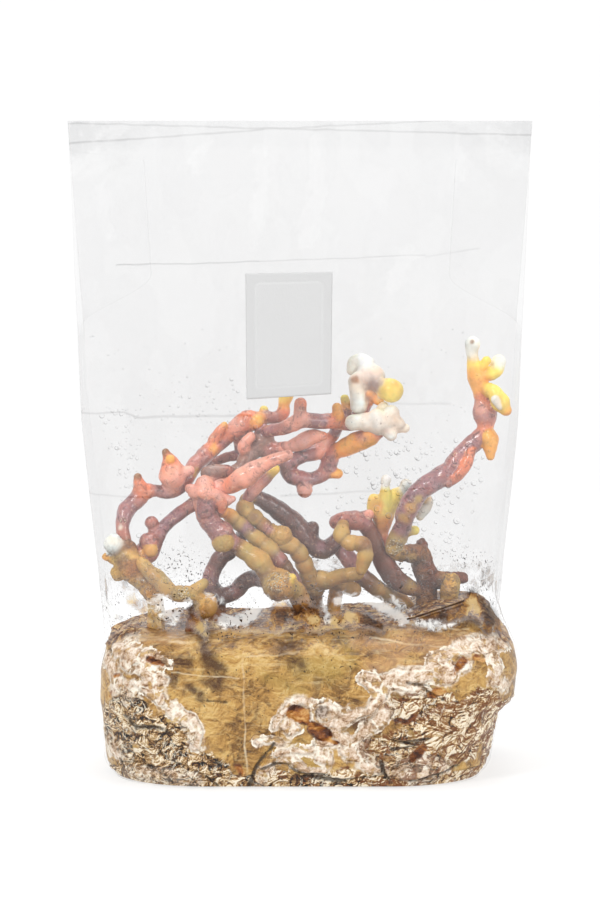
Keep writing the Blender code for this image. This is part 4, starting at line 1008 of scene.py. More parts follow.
# Forms on the block's front face: half width, then the points (x, z) that each run goes
# through, first the patches of white mycelium
MYCELIUM = [
    (3.1, (-96, 71), (-91, 74), (-85, 70), (-90, 67)), (3.1, (-100, 64), (-98, 56), (-95, 53)),
    (3.6, (-80, 68), (-81, 63), (-77, 59), (-73, 56), (-78, 54), (-74, 48)), (2.1, (-89, 63), (-93, 65)),
    (1.6, (-79, 71), (-70, 67)), (1.8, (-86, 55), (-79, 50), (-74, 44)),
    (3.4, (-64, 41), (-59, 37), (-56, 31), (-54, 25)), (1.6, (-69, 41), (-65, 37)),
    (3.6, (-99, 21), (-98, 15)), (1.0, (-90, 54), (-92, 43)),
    (2.3, (-12, 34), (-9, 40), (-5, 46), (0, 48), (6, 46)), (2.1, (-7, 33), (-4, 36), (-2, 32), (-5, 30)),
    (1.6, (6, 45), (7, 40), (10, 35), (16, 37), (17, 42), (14, 46), (9, 46)),
    (3.1, (21, 37), (26, 40), (31, 42), (37, 44), (41, 47), (43, 53)),
    (4.2, (35, 58), (40, 55), (47, 58), (53, 60)), (3.1, (19, 31), (23, 28), (27, 24)),
    (2.6, (9, 24), (16, 25)), (2.1, (8, 18), (14, 16)), (3.1, (25, 20), (31, 17)),
    (3.1, (30, 25), (34, 31), (41, 36), (46, 42)), (1.6, (-20, 27), (-11, 25)),
    (1.6, (-22, 2), (-18, 11), (-12, 15), (-5, 16), (3, 12), (11, 11)),
    (1.3, (-13, 19), (0, 21), (9, 21)), (3.1, (65, 63), (68, 68), (75, 70), (81, 72), (85, 75)),
    (4.2, (60, 60), (69, 63), (77, 62)),
    (3.1, (87, 74), (93, 76), (99, 75), (101, 69), (103, 63), (105, 56), (108, 54)),
    (1.6, (87, 65), (85, 63)), (1.3, (44, 54), (51, 55), (59, 55), (68, 53)),
    (2.6, (49, 10), (57, 13), (65, 14), (74, 11)), (2.1, (31, 12), (39, 12), (47, 8)),
    (2.6, (55, 6), (65, 6), (78, 9)), (2.6, (-89, 7), (-73, 5), (-55, 3)), (2.6, (106, 80), (108, 74)),
]
# Where the skin is crumpled
CRUMPLED = [
    (8.3, (-91, 42), (-93, 25)), (9.4, (-78, 30), (-65, 25)), (7.3, (-83, 15), (-60, 9)),
    (6.2, (-52, 13), (-44, 7)), (10.4, (58, 42), (73, 42)), (11.4, (73, 30), (89, 33)),
    (7.3, (49, 25), (62, 17)), (7.3, (97, 46), (97, 28)), (6.2, (73, 15), (89, 17)),
    (4.7, (-101, 38), (-101, 25)), (5.2, (47, 15), (36, 22)), (3.6, (-94, 9), (-47, 3)),
    (4.2, (-21, 5), (31, 5)), (4.2, (42, 6), (78, 8)),
]
# Amber patches of resin
AMBER = [
    (3.6, (-4, 41), (1, 40)), (4.2, (8, 33), (13, 30)), (1.2, (2, 38), (6, 35)),
    (1.6, (-78, 67), (-74, 65)), (1.6, (81, 63), (85, 68)), (1.0, (-98, 59), (-95, 58)),
    (1.0, (-99, 51), (-99, 49)), (1.6, (107, 81), (109, 77)), (1.3, (92, 69), (95, 67)),
    (1.3, (51, 36), (56, 34), (60, 38)), (1.6, (59, 17), (65, 21)), (1.8, (-33, 11), (-31, 9)),
    (1.3, (15, 27), (19, 25)), (1.6, (69, 50), (73, 54)),
]
# Brown stains
STAINS = [
    (3.6, (-57, 85), (-53, 80), (-49, 72), (-48, 67), (-45, 63)), (2.6, (-64, 68), (-60, 67)),
    (2.1, (-48, 57), (-43, 55), (-41, 59)), (2.6, (-3, 69), (-1, 66)), (4.2, (-1, 94), (4, 89)),
    (1.6, (-67, 58), (-65, 57)), (2.1, (-55, 53), (-51, 50)), (2.1, (-9, 75), (-6, 76)),
    (4.7, (23, 89), (39, 84)), (4.2, (68, 91), (83, 89)), (3.6, (94, 89), (104, 80)),
    (3.1, (26, 35), (37, 37)), (6.5, (60, 93), (80, 97), (97, 100), (105, 90)),
    (5.5, (66, 90), (84, 91), (99, 89)),
]
# Olive patches
OLIVE = [
    (6.2, (-5, 21), (9, 16)), (7.3, (0, 65), (16, 63)), (4.2, (23, 79), (27, 69)),
    (4.2, (-16, 59), (0, 54)),
]
# Crevices, sunk into the skin and painted near black as shade
CREASES = [
    (0.7, (-54, 47), (-47, 46), (-39, 46)), (1.4, (-93, 37), (-86, 31), (-78, 33), (-73, 32), (-69, 29)),
    (0.8, (-75, 20), (-68, 15), (-59, 11), (-49, 6), (-44, 2)), (0.6, (-60, 27), (-54, 22), (-48, 17)),
    (0.8, (-96, 11), (-86, 13), (-77, 10)), (0.6, (-81, 10), (-70, 5)),
    (1.4, (-27, 2), (-25, 7), (-21, 15), (-17, 20), (-14, 24)),
    (1.0, (-20, 11), (-13, 14), (-7, 13), (0, 9), (11, 8)), (1.6, (2, 7), (13, 5), (23, 4)),
    (0.8, (23, 5), (34, 6), (43, 7)), (1.4, (42, 15), (44, 8), (46, 4)),
    (1.0, (54, 3), (73, 6), (84, 10)), (1.0, (65, 54), (71, 50), (76, 46)),
    (1.0, (49, 25), (57, 25), (68, 27)), (1.0, (48, 21), (55, 22), (63, 25)), (1.0, (56, 57), (68, 55)),
    (0.8, (81, 55), (82, 51), (83, 45)), (0.5, (80, 31), (81, 24)), (1.0, (-102, 73), (-100, 68)),
    (0.5, (-91, 25), (-89, 16)), (0.7, (-67, 27), (-73, 23), (-77, 25)), (0.6, (41, 25), (49, 21)),
    (0.7, (68, 13), (73, 17)),
]
# Thin pale lines where the film is pressed, painted as the glints of its folds
FILM_GLINT_LINES = [
    (0.35, (-30, 73), (-28, 9)), (0.5, (-98, 79), (-89, 82), (-62, 82)), (0.5, (-95, 77), (-56, 77)),
    (0.4, (-34, 70), (0, 72)), (0.25, (-67, 62), (-32, 59)), (0.4, (37, 79), (89, 73)),
    (0.4, (42, 86), (89, 83)),
]
# The grey middle of one ring of mycelium
BLOB_CORE = [(3.6, (11.5, 41.2), (11.7, 41.0))]
# Rosier patches of skin
ROSY = [
    (5.0, (32, 79), (88, 76)), (5.0, (-100, 80), (-64, 81)), (3.0, (54, 60), (62, 66)),
    (5.0, (40, 66), (52, 70)),
]


def runs_field(points, runs, reach):
    """Signed distance into the nearest run in the front view, spread so that its edge is
    0.5, reach millimetres inside it 1, and as far outside it 0."""
    flat = points[..., [0, 2]]
    depth = np.full(points.shape[:-1], -reach)
    for half_width, *stops in runs:
        for start, end in zip(stops, stops[1:]):
            start = np.array(start, dtype=float)
            run = np.array(end, dtype=float) - start
            share = np.clip(((flat - start) @ run) / (run @ run), 0.0, 1.0)
            distance = np.linalg.norm(flat - start - share[..., None] * run, axis=-1)
            depth = np.maximum(depth, half_width - distance)
    return np.clip(0.5 + 0.5 * depth / reach, 0.0, 1.0)


# The block's fields, and the colour attribute and channel that each is stored in
BLOCK_FIELDS = {
    "pale": ("growth", 0), "crumpled": ("growth", 1), "stain": ("growth", 2),
    "amber": ("spots", 0), "core": ("spots", 1), "chips": ("spots", 2),
    "crease": ("lines", 0), "rosy": ("lines", 1), "olive": ("lines", 2),
    "fold": ("folds", 0), "fine_fold": ("folds", 1),
}


def block_grid():
    """Rings from the middle of the base out, up the side, over the rounded brow and back
    to the middle of the top, which swells and rises to the right."""
    heights = np.concatenate([np.linspace(BLOCK_GAP, 8.0, 12)[:-1], np.linspace(8.0, BLOCK_SHOULDER, 92)])
    rings = film_rings(heights, BLOCK_GAP, (70, 30, 30))
    shares = np.linspace(0.01, 1.0, 12)[:-1, None, None]
    base = rings[0][None] * np.array([1.0, 1.0, 0.0]) * shares + np.array([0.0, 0.0, BLOCK_GAP])
    shoulder = rings[-1][None]
    reach = np.hypot(shoulder[..., 0], shoulder[..., 1])
    inset = np.concatenate([np.linspace(0.8, 22.0, 26), np.linspace(24.0, 70.0, 26)])[:, None]
    scale = np.maximum(1.0 - inset / reach, 0.02)
    x = shoulder[..., 0] * scale
    y = shoulder[..., 1] * scale
    height = BLOCK_TOP + BLOCK_SLOPE * x + 6.0 * smooth(x, 50.0, 78.0) * smooth(inset, 4.0, 16.0)
    rise = np.interp(inset, [0.0, 4.0, 11.0, 22.0], [0.0, 0.3, 0.78, 0.97])
    rise = 1.0 - (1.0 - rise) * np.clip(1.0 - (inset - 22.0) / 26.0, 0.0, 1.0)
    top = np.stack([x, y, BLOCK_SHOULDER + (height - BLOCK_SHOULDER) * rise], axis=-1)
    centre = top[-1:] * np.array([0.02, 0.02, 0.0]) + np.array([0.0, 0.0, BLOCK_TOP])
    return np.concatenate([base, rings, top, centre], axis=0)


def block_fields(grid, normal):
    """The forms on the block, each from 0 to 1 with its edge at a half: drawn runs on the
    front, and noise on the other sides."""
    x, z = grid[..., 0], grid[..., 2]
    front = smooth(-grid[..., 1], -20.0, 10.0)
    elsewhere = 1.0 - front
    wander = wandering(grid, 11.0, 81)
    around = grid * np.array([1.0, 1.0, 1.3])

    def drawn(runs, sway, reach=FIELD_REACH):
        """Runs drawn on the front face, their edges swayed by noise."""
        return front * runs_field(grid + sway * wander, runs, reach)

    def grown(middle, strength, wave, octaves, seed):
        """Noise round the block about a middle value."""
        return middle + strength * swell(around, wave, octaves, seed=seed)

    pale = np.maximum(drawn(MYCELIUM, 4.2), elsewhere * np.clip(grown(0.36, 0.75, 38.0, 4, 51), 0.0, 1.0))
    crumpled = np.maximum(drawn(CRUMPLED, 5.0, 2.0 * FIELD_REACH),
                          elsewhere * np.clip(grown(0.62, 0.8, 52.0, 3, 53) - z / 160.0, 0.0, 1.0))
    crumpled = np.maximum(crumpled, 0.85 * (1.0 - smooth(z, 3.0, 13.0)))
    flank = smooth(x, 92.0, 101.0) * (1.0 - smooth(z + 5.0 * wander[..., 2], 42.0, 50.0))
    crumpled = np.maximum(crumpled, 0.9 * flank * smooth(-grid[..., 1], -40.0, -5.0))
    stain = np.maximum(drawn(STAINS, 4.0), elsewhere * np.clip(grown(0.28, 0.7, 26.0, 3, 55), 0.0, 1.0))
    # Crevices on the other sides, sunk and painted dark as shade like those on the front.
    crevices = smooth(ridge(around + 6.0 * wander, 46.0, 2, seed=57), 0.965, 0.995)
    crease = np.maximum(drawn(CREASES, 1.6, 1.5), elsewhere * crevices)
    on_top = smooth(normal[..., 2], 0.35, 0.8) * smooth(z, 60.0, 74.0)
    behind_brow = smooth(grid[..., 1] + 14.0 * swell(grid, 22.0, 3, seed=87), -50.0, -34.0)
    bend = 6.0 * np.stack([swell(grid, 14.0, 2, seed=seed) for seed in (61, 62, 63)], axis=-1)
    return SimpleNamespace(
        pale=pale, crumpled=crumpled, stain=stain, crease=crease, on_top=on_top,
        amber=drawn(AMBER, 4.2), core=drawn(BLOB_CORE, 0.0), chips=on_top * behind_brow,
        rosy=drawn(ROSY, 5.0, 2.0 * FIELD_REACH), olive=drawn(OLIVE, 5.0, 2.0 * FIELD_REACH),
        fold=ridge(grid * np.array([1.0, 1.0, 1.35]) + bend, 12.0, 3, seed=65),
        fine_fold=ridge(grid + 0.6 * bend, 5.0, 2, seed=67))


def block_relief(grid, forms):
    """How far the block's skin stands out: folds where it is crumpled, puffed mycelium,
    sunken crevices and resin, and a lumpy top."""
    crushed = smooth(forms.crumpled, 0.42, 0.62)
    puff = smooth(forms.pale, 0.44, 0.66)
    shift = crushed * (3.0 * (forms.fold - 0.78) + 1.4 * (forms.fine_fold - 0.72))
    shift += puff * (0.75 + 0.45 * swell(grid, 5.0, 2, seed=69))
    shift += 0.35 * swell(grid * np.array([0.6, 1.0, 1.4]), 11.0, 3, seed=73) - 0.2
    shift *= 1.0 - forms.on_top
    shift -= 1.5 * smooth(forms.crease, 0.35, 0.85) + 0.7 * smooth(forms.amber, 0.4, 0.6)
    shift -= 0.6 * smooth(forms.core, 0.4, 0.6)
    shift += forms.on_top * (2.4 * swell(grid, 30.0, 2, seed=75) + 1.5 * swell(grid, 7.0, 3, seed=77))
    shift = np.where(forms.on_top > 0.5, shift, np.minimum(shift, 0.7))
    return shift * smooth(grid[..., 2], BLOCK_GAP, BLOCK_GAP + 2.0)


def block_mesh():
    """The block with crumpled film-pressed folds, raised mycelium and a pitted top."""
    grid = block_grid()
    normal = grid_normals(grid)
    normal[-1] = (0.0, 0.0, 1.0)
    forms = block_fields(grid, normal)
    grid = grid + normal * block_relief(grid, forms)[..., None]
    rows, columns = grid.shape[:2]
    mesh = mesh_from("substrate_block", grid.reshape(-1, 3), grid_faces(rows, columns).tolist())
    close_poles(mesh, rows, columns)
    for attribute in ("growth", "spots", "lines", "folds"):
        names = [name for name, where in BLOCK_FIELDS.items() if where[0] == attribute]
        point_attribute(mesh, attribute, *[getattr(forms, name) for name in names])
    return mesh


def close_poles(mesh, rows, columns):
    """Fill the small rings at the grid's first and last rows."""
    skin = bmesh.new()
    skin.from_mesh(mesh)
    skin.verts.ensure_lookup_table()
    skin.faces.new([skin.verts[i] for i in range(columns)][::-1])
    last = (rows - 1) * columns
    skin.faces.new([skin.verts[last + i] for i in range(columns)])
    skin.normal_update()
    skin.to_mesh(mesh)
    skin.free()


def block_values(s):
    """What the block's finishes share: its stored forms, noises, places bent by noise, and a
    painted relief shade: a lumpy noise less the same noise shifted, as if lit from one side.
    """
    forms = {name: s.attribute(*where) for name, where in BLOCK_FIELDS.items()}
    place = s.place()
    bend = s.node("ShaderNodeTexNoise", None,
                  {"Vector": place, "Scale": 0.16, "Detail": 2.0, "Roughness": 0.6},
                  output=1)
    lump_place = s.place((0.9, 1.0, 1.1))
    lit_place = s.place((0.9, 1.0, 1.1), (0.4, 0.0, -0.9))
    lump = s.noise(lump_place, 7.0, 4.0, 0.66, 0.7)
    return SimpleNamespace(
        **forms, place=place, lump=lump,
        # relief is painted light and shade, an emboss of the lumps as if lit from one side.
        relief=0.5 + 1.9 * (lump - s.noise(lit_place, 7.0, 4.0, 0.66, 0.7)),
        grain=s.noise(place, 1.8, 2.0, 0.65),
        fray=s.noise(place, 4.4, 4.0, 0.64, 0.8) - 0.5,
        lobe=s.noise(place, 10.0, 2.0, 0.5, 0.6) - 0.5,
        bent=s.vector_math("MULTIPLY_ADD", {0: bend, 1: (7.0, 7.0, 7.0), 2: place}))


def ochre_skin(s, v):
    """Ochre skin with brown blotches, pale squiggles, smears of film, stains and pits, and light
    and shade painted in from the relief.
    """
    broad = s.noise(v.place, 22.0, 3.0, 0.6, 0.5)
    vein = s.ridge(s.noise(s.place((0.7, 1.0, 1.3)), 11.0, 3.0, 0.55, 0.7))
    # A quarter of the skin's tone is painted relief shade.
    skin = s.ramp(0.46 * broad + 0.30 * v.lump + 0.24 * v.relief, [
        (0.35, tint(0.32, 0.20, 0.07)), (0.43, tint(0.54, 0.39, 0.18)), (0.49, tint(0.69, 0.52, 0.27)),
        (0.55, tint(0.77, 0.61, 0.34)), (0.65, tint(0.86, 0.74, 0.50))])
    brown = s.step(s.noise(s.place((1.0, 1.0, 0.8)), 10.0, 4.0, 0.66, 0.9), 0.50, 0.66)
    skin = s.blend(brown * 0.65, skin, tint(0.32, 0.19, 0.08))
    skin = s.blend(s.step(v.olive, 0.3, 0.8) * 0.5, skin, tint(0.58, 0.49, 0.22))
    skin = s.blend(s.step(v.rosy, 0.3, 0.7) * 0.5, skin, tint(0.78, 0.61, 0.46))
    skin = s.blend(s.step(vein, 0.88, 1.0) * 0.26, skin, tint(0.88, 0.77, 0.52))
    smear = s.step(s.noise(s.place((0.22, 1.0, 2.0)), 5.0, 4.0, 0.6), 0.56, 0.68)
    skin = s.blend(smear * 0.3, skin, tint(0.90, 0.81, 0.62))
    stained = s.step(v.stain + v.fray + 0.5 * v.lobe, 0.08, 0.84)
    skin = s.blend(stained * 0.92, skin, tint(0.25, 0.13, 0.045))
    pits = s.step(s.noise(v.place, 1.6, 2.0, 0.6), 0.64, 0.70)
    pits = pits * s.step(s.noise(v.place, 17.0, 2.0), 0.38, 0.54)
    return s.blend(pits * 0.85, skin, tint(0.14, 0.08, 0.04))


def crumpled_skin(s, v):
    """Crumpled folds, their light and shade painted in: thin bright crests that are painted
    highlights, flanks shaded by a painted emboss, dark crevices of painted shade, and rusty
    hollows. Gives the colour, the height of the folds and the crinkles in them."""
    crinkle = s.noise(s.place((1.0, 1.0, 1.2)), 11.0, 4.0, 0.66, 1.6)
    # Painted emboss: the crinkle less the same crinkle shifted, so each fold is lit on one flank and shaded
    # on the other.
    crinkle_lit = s.noise(s.place((1.0, 1.0, 1.2), (0.35, 0.0, -0.8)), 11.0, 4.0, 0.66, 1.6)
    flank = 0.5 + 5.0 * (crinkle - crinkle_lit)
    cell = s.node("ShaderNodeTexVoronoi", None, {"Vector": v.bent, "Scale": 1.0 / 7.0}, output=1)
    plate = s.node("ShaderNodeSeparateColor", None, {"Color": cell})
    crack = s.step(s.cells(v.bent, 7.0, "DISTANCE_TO_EDGE"), 0.10, 0.0)
    folded = 0.36 * flank + 0.20 * v.fold + 0.16 * v.fine_fold + 0.18 * plate + 0.14 * v.grain
    folded = folded - 0.22 * crack * s.step(crinkle, 0.44, 0.54)
    # Painted light and shade: near black in the crevices and cracks, near white on the crests.
    crushed = s.ramp(folded, [
        (0.37, tint(0.05, 0.02, 0.01)), (0.44, tint(0.24, 0.14, 0.06)), (0.51, tint(0.46, 0.31, 0.15)),
        (0.575, tint(0.64, 0.49, 0.29)), (0.64, tint(0.82, 0.70, 0.51)), (0.74, tint(0.99, 0.94, 0.85))])
    # Painted highlights: thin near-white lines along the crests.
    painted_crest_glint = s.step(s.ridge(s.noise(v.bent, 8.0, 3.0, 0.6, 0.8)), 0.88, 0.99)
    painted_crest_glint = painted_crest_glint * s.step(v.lobe + 0.6 * v.fray, -0.14, 0.06)
    crushed = s.blend(painted_crest_glint * 0.8, crushed, tint(0.98, 0.94, 0.85))
    rust = s.step(s.noise(v.place, 6.0, 3.0, 0.7, 0.8) + 0.0013 * s.parts(v.place)[0], 0.50, 0.64)
    rust = rust * s.step(folded, 0.70, 0.52)
    return s.blend(rust * 0.75, crushed, tint(0.50, 0.28, 0.09)), folded, crinkle


def mycelium_down(s, v):
    """White down: lobed patches with a mauve tinge inside and cream along their rims. Gives the
    colour, how much of it shows, and a thin dark ring round it that is painted shadow."""
    edge = v.pale + 0.46 * v.fray + 0.34 * v.lobe
    holes = s.step(s.noise(v.place, 5.0, 4.0, 0.6, 0.5), 0.53, 0.62)
    crisp = s.step(s.noise(v.place, 16.0, 2.0), 0.44, 0.54)
    soft_edge = s.step(edge, 0.27, 0.50)
    inside = soft_edge + crisp * (s.step(edge, 0.345, 0.385) - soft_edge)
    shown = inside * (1.0 - 0.8 * holes)
    welt = s.step(s.cells(v.bent, 11.0, "DISTANCE_TO_EDGE"), 0.10, 0.01)
    rim = shown * s.math("MAXIMUM", s.step(edge, 0.56, 0.38), welt * 0.8)
    # Painted shadow: a thin dark ring just outside the patches.
    painted_edge_shadow = s.step(edge, 0.24, 0.345) * (1.0 - inside) * s.step(v.lobe, -0.06, 0.10)
    # A quarter of the down's cloudy tone is painted relief shade.
    cloud = 0.50 * s.noise(v.place, 6.0, 4.0, 0.64, 0.8) + 0.25 * v.grain + 0.25 * v.relief
    down = s.ramp(cloud, [
        (0.37, tint(0.42, 0.29, 0.19)), (0.44, tint(0.69, 0.56, 0.44)), (0.51, tint(0.86, 0.77, 0.68)),
        (0.62, tint(0.97, 0.93, 0.88))])
    down = s.blend(rim * s.step(v.lobe, -0.16, 0.04) * 0.9, down, tint(1.0, 0.98, 0.92))
    return down, shown, painted_edge_shadow


def painted_film_glints(s, v):
    """Thin pale lines on the front, where folds of film are pressed onto the block: painted highlights, the
    glints of those folds.
    """
    wander = s.node("ShaderNodeTexNoise", None, {"Vector": v.place, "Scale": 0.12, "Detail": 1.0}, output=1)
    flat = s.vector_math("MULTIPLY_ADD", {
        0: wander, 1: (3.0, 0.0, 3.0), 2: s.place((1.0, 0.0, 1.0), (-1.5, 0.0, -1.5))})
    line = 0.0
    for width, *run in FILM_GLINT_LINES:
        line = s.math("MAXIMUM", line, s.step(s.gap_to(flat, run), width + 0.4, 0.3 * width))
    return line * s.step(s.parts(v.place)[1], -30.0, -40.0)


def colonised_sawdust():
    """The block's finish: ochre skin, crumpled skin, white mycelium with painted shadow round it, amber
    resin, a grey core, crevices darkened as painted shade and pale lines painted as glints of the film's
    pressed folds, with dark chips on top."""
    s = Shader("colonised_sawdust")
    v = block_values(s)
    crushed, folded, crinkle = crumpled_skin(s, v)
    down, shown, painted_edge_shadow = mycelium_down(s, v)
    mixed = s.step(v.crumpled + 0.45 * v.fray + 0.35 * v.lobe, 0.42, 0.52)
    crust = s.blend(mixed, ochre_skin(s, v), crushed)
    # Painted shadow round the mycelium patches.
    crust = s.blend(painted_edge_shadow * 0.42, crust, tint(0.36, 0.22, 0.10))
    crust = s.blend(shown * (1.0 - 0.8 * mixed * s.step(folded, 0.66, 0.54)), crust, down)
    glow = s.ramp(s.noise(s.place((0.7, 1.0, 1.2)), 6.0, 4.0, 0.6, 0.4), [
        (0.38, tint(0.26, 0.12, 0.04)), (0.47, tint(0.48, 0.26, 0.09)), (0.56, tint(0.67, 0.43, 0.17)),
        (0.68, tint(0.88, 0.70, 0.44))])
    resin = s.step(v.amber + 0.35 * v.fray, 0.40, 0.52)
    crust = s.blend(resin, crust, glow)
    pith = s.ramp(v.grain, [(0.42, tint(0.40, 0.33, 0.28)), (0.6, tint(0.74, 0.68, 0.63))])
    crust = s.blend(s.step(v.core + 0.2 * v.fray, 0.44, 0.58) * 0.85, crust, pith)
    # Painted shade: the crevices darkened near black.
    crust = s.blend(s.step(v.crease + 1.1 * v.fray, 0.42, 0.86) * 0.85, crust, tint(0.13, 0.08, 0.04))
    # Painted highlights: pale glints of the film's pressed folds.
    crust = s.blend(painted_film_glints(s, v) * (0.30 + 1.2 * v.lobe), crust, tint(0.97, 0.90, 0.76))
    chips = s.ramp(s.noise(s.place((1.0, 0.6, 1.0)), 4.0, 4.0, 0.70, 0.6), [
        (0.36, tint(0.14, 0.06, 0.02)), (0.45, tint(0.36, 0.20, 0.08)), (0.53, tint(0.60, 0.40, 0.18)),
        (0.62, tint(0.86, 0.74, 0.54))])
    crust = s.blend(v.chips, crust, chips)
    height = 0.9 * crinkle * s.step(v.crumpled, 0.40, 0.54) + 0.35 * s.step(v.pale, 0.42, 0.56)
    height = height + 0.30 * v.lump + 0.12 * v.grain
    return s.finish(s.principled({
        "Base Color": crust, "Roughness": 0.34 + 0.20 * v.grain + 0.22 * shown - 0.18 * resin,
        "Normal": s.bump(height, 0.003), "Coat Weight": 0.25 * (1.0 - shown), "Coat Roughness": 0.2,
        "Specular IOR Level": 0.3}))


def spline_samples(points, spacing=0.8):
    """A smooth curve through the points, sampled at near equal steps: a cubic on four
    neighbouring points at a time."""
    numbers = np.array([point[:4] for point in points], dtype=float)
    tones = np.array([linear(TONES[point[4]]) for point in points])
    gloss = np.array([[GLOSS[point[4]]] for point in points])
    values = np.concatenate([numbers, tones, gloss], axis=1)
    if len(values) == 1:
        return values
    padded = np.concatenate([2.0 * values[:1] - values[1:2], values, 2.0 * values[-1:] - values[-2:-1]])
    padded[:, 3:] = np.concatenate([values[:1, 3:], values[:, 3:], values[-1:, 3:]])
    pieces = []
    for i in range(len(values) - 1):
        p0, p1, p2, p3 = padded[i:i + 4]
        steps = max(2, int(np.linalg.norm(p2[:3] - p1[:3]) / spacing))
        t = np.linspace(0.0, 1.0, steps, endpoint=False)[:, None]
        curve = 0.5 * (2.0 * p1 + (p2 - p0) * t + (2.0 * p0 - 5.0 * p1 + 4.0 * p2 - p3) * t ** 2
                       + (3.0 * p1 - p0 - 3.0 * p2 + p3) * t ** 3)
        ease = smooth(t, 0.2, 0.8)
        curve[:, 4:] = p1[4:] * (1.0 - ease) + p2[4:] * ease
        pieces.append(curve)
    pieces.append(values[-1:])
    return np.concatenate(pieces)


def limb_surface(samples):
    """A round skin carried along the samples, its ends closed by half spheres: at each angle
    of an end the ring's radius is the cosine, and its distance out the sine."""
    centre = samples[:, :3]
    radius = samples[:, 3]
    if len(samples) == 1:
        ends = np.linspace(-1.0, 1.0, 2 * LIMB_END_RINGS + 1)[:, None] * 0.999
        path = centre + ends * radius * np.array([[0.0, 0.0, 1.0]])
        size = radius * np.sqrt(1.0 - ends[:, 0] ** 2)
        tangent = np.tile([[0.0, 0.0, 1.0]], (len(path), 1))
    else:
        tangent = np.gradient(centre, axis=0)
        tangent /= np.linalg.norm(tangent, axis=-1, keepdims=True)
        angles = np.linspace(0.0, math.pi / 2.0, LIMB_END_RINGS + 1)[1:]
        angles[-1] *= 0.99
        start = centre[0] - tangent[0] * radius[0] * np.sin(angles)[::-1, None]
        end = centre[-1] + tangent[-1] * radius[-1] * np.sin(angles)[:, None]
        path = np.concatenate([start, centre, end])
        size = np.concatenate([radius[0] * np.cos(angles)[::-1], radius, radius[-1] * np.cos(angles)])
        tangent = np.concatenate([np.repeat(tangent[:1], LIMB_END_RINGS, axis=0), tangent,
                                  np.repeat(tangent[-1:], LIMB_END_RINGS, axis=0)])
    aside = np.cross(tangent, np.array([0.31, 0.86, 0.40]))
    aside /= np.linalg.norm(aside, axis=-1, keepdims=True)
    other = np.cross(tangent, aside)
    turn = np.linspace(0.0, 2.0 * math.pi, LIMB_SIDES, endpoint=False)
    ring = aside[:, None] * np.cos(turn)[None, :, None] + other[:, None] * np.sin(turn)[None, :, None]
    grid = path[:, None] + ring * size[:, None, None]
    faces = grid_faces(len(path), LIMB_SIDES)
    count = len(path) * LIMB_SIDES
    around = np.arange(LIMB_SIDES)
    following = (around + 1) % LIMB_SIDES
    last_row = count - LIMB_SIDES
    first = np.stack([following, around, np.full(LIMB_SIDES, count)], axis=-1)
    last = np.stack([last_row + around, last_row + following, np.full(LIMB_SIDES, count + 1)], axis=-1)
    points = np.concatenate([grid.reshape(-1, 3), path[:1], path[-1:]])
    return points, faces.tolist() + first.tolist() + last.tolist()


def remeshed(points, faces):
    """The joined limbs as one even skin."""
    mesh = bpy.data.meshes.new("limbs")
    mesh.from_pydata((points * MM).tolist(), [], faces)
    mesh.update()
    source = bpy.data.objects.new("limbs", mesh)
    bpy.context.scene.collection.objects.link(source)
    modifier = source.modifiers.new("Fuse", "REMESH")
    modifier.mode = "VOXEL"
    modifier.voxel_size = SKIN_GRAIN * MM
    graph = bpy.context.evaluated_depsgraph_get()
    result = bpy.data.meshes.new_from_object(source.evaluated_get(graph))
    bpy.data.objects.remove(source)
    bpy.data.meshes.remove(mesh)
    return result


def mesh_points(mesh):
    """The mesh's points, in millimetres."""
    flat = np.empty(len(mesh.vertices) * 3, dtype=np.float32)
    mesh.vertices.foreach_get("co", flat)
    return flat.reshape(-1, 3).astype(float) / MM


def mesh_normals(mesh):
    """The unit normals at the mesh's points."""
    flat = np.empty(len(mesh.vertices) * 3, dtype=np.float32)
    mesh.vertices.foreach_get("normal", flat)
    return flat.reshape(-1, 3).astype(float)


def set_mesh_points(mesh, points):
    """Move the mesh's points to those places in millimetres."""
    mesh.vertices.foreach_set("co", (points * MM).astype(np.float32).ravel())
    mesh.update()


def relax(mesh, rounds, strength=0.5):
    """Move each point towards the mean of its neighbours, then out again a little less."""
    edges = np.empty(len(mesh.edges) * 2, dtype=np.int32)
    mesh.edges.foreach_get("vertices", edges)
    edges = edges.reshape(-1, 2)
    points = mesh_points(mesh)
    count = np.bincount(edges.ravel(), minlength=len(points))[:, None]
    for step in range(rounds * 2):
        total = np.zeros_like(points)
        for axis in range(3):
            total[:, axis] = (np.bincount(edges[:, 0], points[edges[:, 1], axis], len(points))
                              + np.bincount(edges[:, 1], points[edges[:, 0], axis], len(points)))
        pull = strength if step % 2 == 0 else -strength * 0.92
        points += pull * (total / np.maximum(count, 1) - points)
    set_mesh_points(mesh, points)


def nearest_on_limbs(points, samples, softness=0.7):
    """For each point, the samples' values at the limb skin next to it, blended where limbs
    meet: each sample weighs the exponential of minus its extra distance over softness."""
    result = np.empty((len(points), samples.shape[1]))
    for start in range(0, len(points), 4000):
        chunk = points[start:start + 4000]
        gap = np.linalg.norm(chunk[:, None] - samples[None, :, :3], axis=-1) - samples[None, :, 3]
        weight = np.exp(-(gap - gap.min(axis=1, keepdims=True)) / softness)
        weight /= weight.sum(axis=1, keepdims=True)
        result[start:start + 4000] = weight @ samples
    return result


